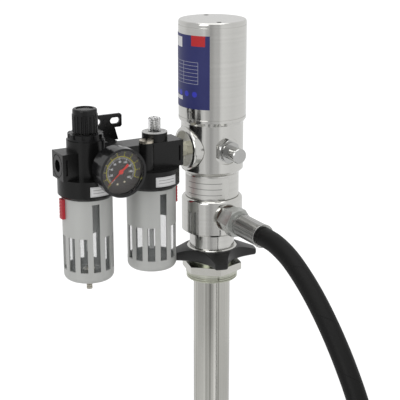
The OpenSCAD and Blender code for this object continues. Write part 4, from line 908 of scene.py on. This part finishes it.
def grown(name, tree, **inputs):
    """Runs a Geometry Nodes tree once and keeps its result as a plain mesh object."""
    seed = bpy.data.objects.new(name + "_seed", bpy.data.meshes.new(name + "_seed"))
    bpy.context.scene.collection.objects.link(seed)
    modifier = seed.modifiers.new("nodes", "NODES")
    modifier.node_group = tree
    for item in tree.interface.items_tree:
        if item.in_out == "INPUT" and item.name.replace(" ", "_") in inputs:
            modifier[item.identifier] = inputs[item.name.replace(" ", "_")]
    seed.update_tag()
    bpy.context.view_layer.update()
    mesh = bpy.data.meshes.new_from_object(seed.evaluated_get(bpy.context.evaluated_depsgraph_get()))
    bpy.data.objects.remove(seed)
    obj = bpy.data.objects.new(name, mesh)
    bpy.context.scene.collection.objects.link(obj)
    return obj


ticks = tick_tree()
print("tick tree", len(ticks.nodes), "nodes")

# %% [markdown]
# The rest of the dial's print is an olive arc, plain numbers and two pale dots. They are drawn flat
# about the dial's middle, joined to one mesh for each ink, and then stood up on the dial. A scale's
# row in the table is its name, count, radius, tick length and width, sweep and ink.

# %% Dial print
GAUGE_AT = Vector((FILTER_X + 0.015, -0.05365, PORT_Z))
ON_DIAL = Matrix.Translation(GAUGE_AT) @ Matrix.Rotation(math.radians(90), 4, "X")
INK = 0.00008
SCALES = [("white_fine", 49, 0.0146, 0.0019, 0.0003, INNER_SWEEP, WHITE_INK),
          ("white_long", 9, 0.0142, 0.0028, 0.00055, INNER_SWEEP, WHITE_INK),
          ("olive_long", 11, 0.018, 0.0028, 0.0006, OUTER_SWEEP, OLIVE_INK)]
ARC_STEPS, ARC_IN, ARC_OUT, DOT_SIDES, DOT_R = 96, 0.0159, 0.0167, 24, 0.0011
INNER_COUNT, INNER_STEP, INNER_AT, INNER_SIZE = 9, 20, 0.0109, 0.0029
OUTER_COUNT, OUTER_AT, OUTER_SIZE = 11, 0.0209, 0.0022
DOTS_AT = (-0.0041, -0.0127), (0.0039, -0.011)


def arc_band(name, inner, outer, material):
    points, faces = [], []
    for i in range(ARC_STEPS + 1):
        a = SCALE_START + OUTER_SWEEP * i / ARC_STEPS
        for r in (inner, outer):
            for z in (0, INK):
                points.append((r * math.cos(a), r * math.sin(a), z))
    for i in range(ARC_STEPS):
        p, q = 4 * i, 4 * i + 4
        faces += [(p, q, q + 1, p + 1), (p + 2, p + 3, q + 3, q + 2),
                  (p + 1, q + 1, q + 3, p + 3), (p, p + 2, q + 2, q)]
    end = 4 * ARC_STEPS
    faces += [(0, 1, 3, 2), (end, end + 2, end + 3, end + 1)]
    return new_piece(name, points, faces, material, smooth=False)


def number(name, text, radius, angle, size, material):
    curve = bpy.data.curves.new(name, "FONT")
    curve.body, curve.size, curve.extrude = text, size, INK / 2
    curve.align_x, curve.align_y = "CENTER", "CENTER"
    curve.offset = size * 0.025
    words = bpy.data.objects.new(name, curve)
    bpy.context.scene.collection.objects.link(words)
    bpy.context.view_layer.update()
    mesh = bpy.data.meshes.new_from_object(words.evaluated_get(bpy.context.evaluated_depsgraph_get()))
    bpy.data.objects.remove(words)
    mesh.transform(Matrix.Translation((radius * math.cos(angle), radius * math.sin(angle), INK / 2)))
    mesh.materials.clear()
    mesh.materials.append(material)
    obj = bpy.data.objects.new(name, mesh)
    bpy.context.scene.collection.objects.link(obj)
    return obj


def dot(name, x, y, radius, material):
    n = DOT_SIDES
    corners = [k * 2 * math.pi / n for k in range(n)]
    ring = [(x + radius * math.cos(a), y + radius * math.sin(a)) for a in corners]
    points = [(px, py, 0) for px, py in ring] + [(px, py, INK * 2) for px, py in ring]
    faces = [tuple(reversed(range(n))), tuple(range(n, 2 * n))]
    faces += [(k, (k + 1) % n, n + (k + 1) % n, n + k) for k in range(n)]
    return new_piece(name, points, faces, material, smooth=False)


def join(name, parts):
    """Joins flat parts that share a material into one mesh."""
    bm = bmesh.new()
    for part in parts:
        bm.from_mesh(part.data)
        material = part.data.materials[0]
        bpy.data.objects.remove(part)
    mesh = bpy.data.meshes.new(name)
    bm.to_mesh(mesh)
    bm.free()
    mesh.materials.append(material)
    obj = bpy.data.objects.new(name, mesh)
    bpy.context.scene.collection.objects.link(obj)
    return obj


white_parts, olive_parts, cream_parts = [], [], []
for name, count, radius, length, width, sweep_angle, material in SCALES:
    scale = grown(name, ticks, Count=count, Radius=radius, Length=length, Width=width, Thickness=INK * 2,
                  Sweep=sweep_angle, Material=material)
    (white_parts if material is WHITE_INK else olive_parts).append(scale)
olive_parts.append(arc_band("olive_arc", ARC_IN, ARC_OUT, OLIVE_INK))
for i in range(INNER_COUNT):
    angle = SCALE_START + INNER_SWEEP * i / (INNER_COUNT - 1)
    white_parts.append(number(f"inner_{i}", str(INNER_STEP * i), INNER_AT, angle, INNER_SIZE, WHITE_INK))
for i in range(OUTER_COUNT):
    angle = SCALE_START + OUTER_SWEEP * i / (OUTER_COUNT - 1)
    olive_parts.append(number(f"outer_{i}", str(i), OUTER_AT, angle, OUTER_SIZE, OLIVE_INK))
for i, (x, y) in enumerate(DOTS_AT):
    cream_parts.append(dot(f"pale_dot_{i}", x, y, DOT_R, CREAM_INK))
for name, parts in (("dial_white", white_parts), ("dial_olive", olive_parts), ("dial_cream", cream_parts)):
    print_layer = join(name, parts)
    print_layer.data.transform(ON_DIAL)
    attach(print_layer, "pump")
    print(name, len(print_layer.data.polygons))

# %% [markdown]
# Inside the regulator, a wound spring presses on the diaphragm. The CAD model has a plain sleeve
# there. Geometry Nodes wind the real one: a Spiral curve, and Curve to Mesh with a round wire.

# %% Regulator spring
def spring_tree():
    tree = bpy.data.node_groups.new("wound spring", "GeometryNodeTree")
    for name in ("Turns", "Radius", "Height", "Wire"):
        tree.interface.new_socket(name, in_out="INPUT", socket_type="NodeSocketFloat")
    tree.interface.new_socket("Material", in_out="INPUT", socket_type="NodeSocketMaterial")
    tree.interface.new_socket("Geometry", in_out="OUTPUT", socket_type="NodeSocketGeometry")
    given = {s.name: Value(tree, s) for s in tree.nodes.new("NodeGroupInput").outputs if s.name}
    line = Value(tree, make_node(tree, "GeometryNodeCurveSpiral", None, {
        "Resolution": 32, "Rotations": given["Turns"], "Start Radius": given["Radius"],
        "End Radius": given["Radius"], "Height": given["Height"]}).outputs[0])
    wire = Value(tree, make_node(tree, "GeometryNodeCurvePrimitiveCircle", None, {
        "Resolution": 10, "Radius": given["Wire"]}).outputs[0])
    tube = Value(tree, make_node(tree, "GeometryNodeCurveToMesh", None, {
        "Curve": line, "Profile Curve": wire, "Fill Caps": True}).outputs[0])
    real = Value(tree, make_node(tree, "GeometryNodeRealizeInstances", None, {"Geometry": tube}).outputs[0])
    done = make_node(tree, "GeometryNodeSetMaterial", None, {"Geometry": real, "Material": given["Material"]})
    tree.links.new(done.outputs[0], tree.nodes.new("NodeGroupOutput").inputs[0])
    return tree


low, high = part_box("regulator_spring")
WIRE, SPRING_TURNS = 0.0009, 4.0
spring = grown("wound_spring", spring_tree(), Turns=SPRING_TURNS, Radius=(high[0] - low[0]) / 2 - WIRE,
               Height=high[2] - low[2] - 2 * WIRE, Wire=WIRE, Material=finishes["bright"])
spring.data.transform(Matrix.Translation(((low[0] + high[0]) / 2, (low[1] + high[1]) / 2, low[2] + WIRE)))
spring.data.shade_smooth()
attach(spring, "pump")
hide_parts("regulator_spring")
print("spring", len(spring.data.polygons))

# %% [markdown]
# A dark brown sealing ring shows between the outlet body and its fitting. It is round in section, so
# a circle of profile points is turned about the fitting's axis.

# %% Sealing ring
SEAL_Y, SEAL_R, SEAL_WIRE = -0.0366, 0.0138, 0.0008
SEAL_SECTION, SEAL_STEPS = 12, 72
BROWN = grained("brown_seal", (0.035, 0.018, 0.009), 0.5, 1500, 0.00005, 0.3)
section = [2 * math.pi * k / SEAL_SECTION for k in range(SEAL_SECTION)]
ring = about_axis("outlet_seal", (0, SEAL_Y, OUTLET_Z), (0, -1, 0), (1, 0, 0),
                  [(SEAL_WIRE * math.sin(a), SEAL_R + SEAL_WIRE * math.cos(a)) for a in section],
                  SEAL_STEPS, BROWN, lambda along, radius, angle: radius)
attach(ring, "pump")
print("seal", len(ring.data.polygons))

# %% [markdown]
# Under the sight dome a ribbed clear sleeve guides the oil drops. Its ribs bend the light, so the dome
# shows upright dark lines.

# %% Drip sleeve
DOME_AT = (LUB_X + 0.005, 0, 0.16495)
RIBS, RIB_DEPTH, SLEEVE_BORE, SLEEVE_STEPS = 10, 0.0008, 0.0035, 120
SLEEVE = [(0.001, 0.003), (0.001, 0.0047), (0.0162, 0.0047), (0.0172, 0.0042), (0.0172, 0.003)]


def ribbed(_, radius, angle):
    return radius - RIB_DEPTH * (0.5 + 0.5 * math.cos(RIBS * angle)) if radius > SLEEVE_BORE else radius


sleeve = about_axis("drip_sleeve", DOME_AT, (0, 0, 1), (1, 0, 0), SLEEVE, SLEEVE_STEPS,
                    clear_plastic("clear_sleeve", (0.92, 0.92, 0.91), 0.03, 1.49), ribbed)
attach(sleeve, "drip_control")
print("sleeve", len(sleeve.data.polygons))

# %% [markdown]
# Plain pale floor, and soft light from the world and two large lamps. Polished metal shows what
# stands round it, so rays that it reflects see a pale room with a dimmer side behind the camera.
# That gives the soft upright bands of a polished cylinder. The camera sees plain white.

# %% Stage
FLOOR_Z, FLOOR_R, FLOOR_SIDES = cad_box[0][2] - 0.0015, 1.75, 96


def stage_floor():
    corners = [2 * math.pi * k / FLOOR_SIDES for k in range(FLOOR_SIDES)]
    floor = new_piece("floor", [(FLOOR_R * math.cos(a), FLOOR_R * math.sin(a), FLOOR_Z) for a in corners],
                      [tuple(range(FLOOR_SIDES))], smooth=False)
    material = bpy.data.materials.new("floor_white")
    material.use_nodes = True
    tree = material.node_tree
    tree.nodes.clear()
    seen = tree.nodes.new("ShaderNodeLightPath").outputs
    matt = make_node(tree, "ShaderNodeBsdfDiffuse", None, {"Color": (0.8, 0.8, 0.8, 1)})
    share = Value(tree, seen["Is Camera Ray"]) * 0.45 + Value(tree, seen["Is Glossy Ray"]) * 0.1
    share = share + Value(tree, seen["Is Transmission Ray"]) * 0.45
    glow = make_node(tree, "ShaderNodeEmission", None, {"Strength": share})
    both = tree.nodes.new("ShaderNodeAddShader")
    tree.links.new(matt.outputs[0], both.inputs[0])
    tree.links.new(glow.outputs[0], both.inputs[1])
    tree.links.new(both.outputs[0], tree.nodes.new("ShaderNodeOutputMaterial").inputs[0])
    floor.data.materials.append(material)


stage_floor()

# %% [markdown]
# The world's brightness depends on the compass bearing of a reflected ray, counted from the camera.
# The stops in BANDS are bearings in degrees with the grey that polished metal mirrors there.

# %% World
ROOM_LIGHT, PLAIN_LIGHT = 0.62, 0.5


def studio_world():
    world = bpy.data.worlds.new("studio")
    bpy.context.scene.world = world
    world.use_nodes = True
    tree = world.node_tree
    tree.nodes.clear()
    seen = tree.nodes.new("ShaderNodeLightPath").outputs
    view = Value(tree, tree.nodes.new("ShaderNodeTexCoord").outputs["Generated"])
    turned = make_node(tree, "ShaderNodeMapping", None, {
        "Vector": view, "Rotation": (0, 0, math.radians(-CAMERA_YAW))})
    split = make_node(tree, "ShaderNodeSeparateXYZ", None, {"Vector": Value(tree, turned.outputs[0])})
    x, y, _ = (Value(tree, s) for s in split.outputs)
    bearing = x.math("ARCTAN2", x, 0 - y) / (2 * math.pi) + 0.5
    bands = make_node(tree, "ShaderNodeValToRGB", {"stops": BANDS}, {"Fac": bearing})
    room = Value(tree, bands.outputs[0])
    glossy = Value(tree, seen["Is Glossy Ray"])
    plain = Value(tree, seen["Is Camera Ray"]) + Value(tree, seen["Is Transmission Ray"])
    strength = ROOM_LIGHT + plain.clamped() * PLAIN_LIGHT
    light = glossy * room + (1 - glossy) * strength
    back = make_node(tree, "ShaderNodeBackground", None, {"Color": (1, 1, 1, 1), "Strength": light})
    tree.links.new(back.outputs[0], tree.nodes.new("ShaderNodeOutputWorld").inputs[0])


def degrees(a): return 0.5 + a / 360


BANDS = [(degrees(-179), 0.8), (degrees(-110), 0.8), (degrees(-92), 0.66), (degrees(-50), 0.66),
         (degrees(-36), 0.7), (degrees(-27), 0.82), (degrees(-21), 0.58), (degrees(-12), 0.56),
         (degrees(-8), 0.42), (degrees(0), 0.48), (degrees(8), 0.6), (degrees(24), 0.6),
         (degrees(26), 0.8), (degrees(34), 0.9), (degrees(72), 0.8), (degrees(106), 0.84),
         (degrees(140), 0.84), (degrees(179), 0.8)]
studio_world()
print("bands", len(BANDS))

# %% [markdown]
# A wide lamp overhead gives the soft shadow on the floor. A smaller one at the left rounds the black
# air units. Both look at the middle of the pump's head.

# %% Lamps
HEAD = (-0.05, 0, 0.1)


def lamp(name, at, size, power):
    light = bpy.data.lights.new(name, "AREA")
    light.shape, light.size, light.energy = "SQUARE", size, power
    obj = bpy.data.objects.new(name, light)
    obj.location = at
    obj.rotation_euler = (Vector(HEAD) - Vector(at)).to_track_quat("-Z", "Y").to_euler()
    bpy.context.scene.collection.objects.link(obj)


lamp("top_box", (-0.3, -0.5, 2.2), 2.4, 24)
lamp("left_box", (-2.0, -1.2, 1.0), 1.2, 14)
print("lamps", len(bpy.data.lights))
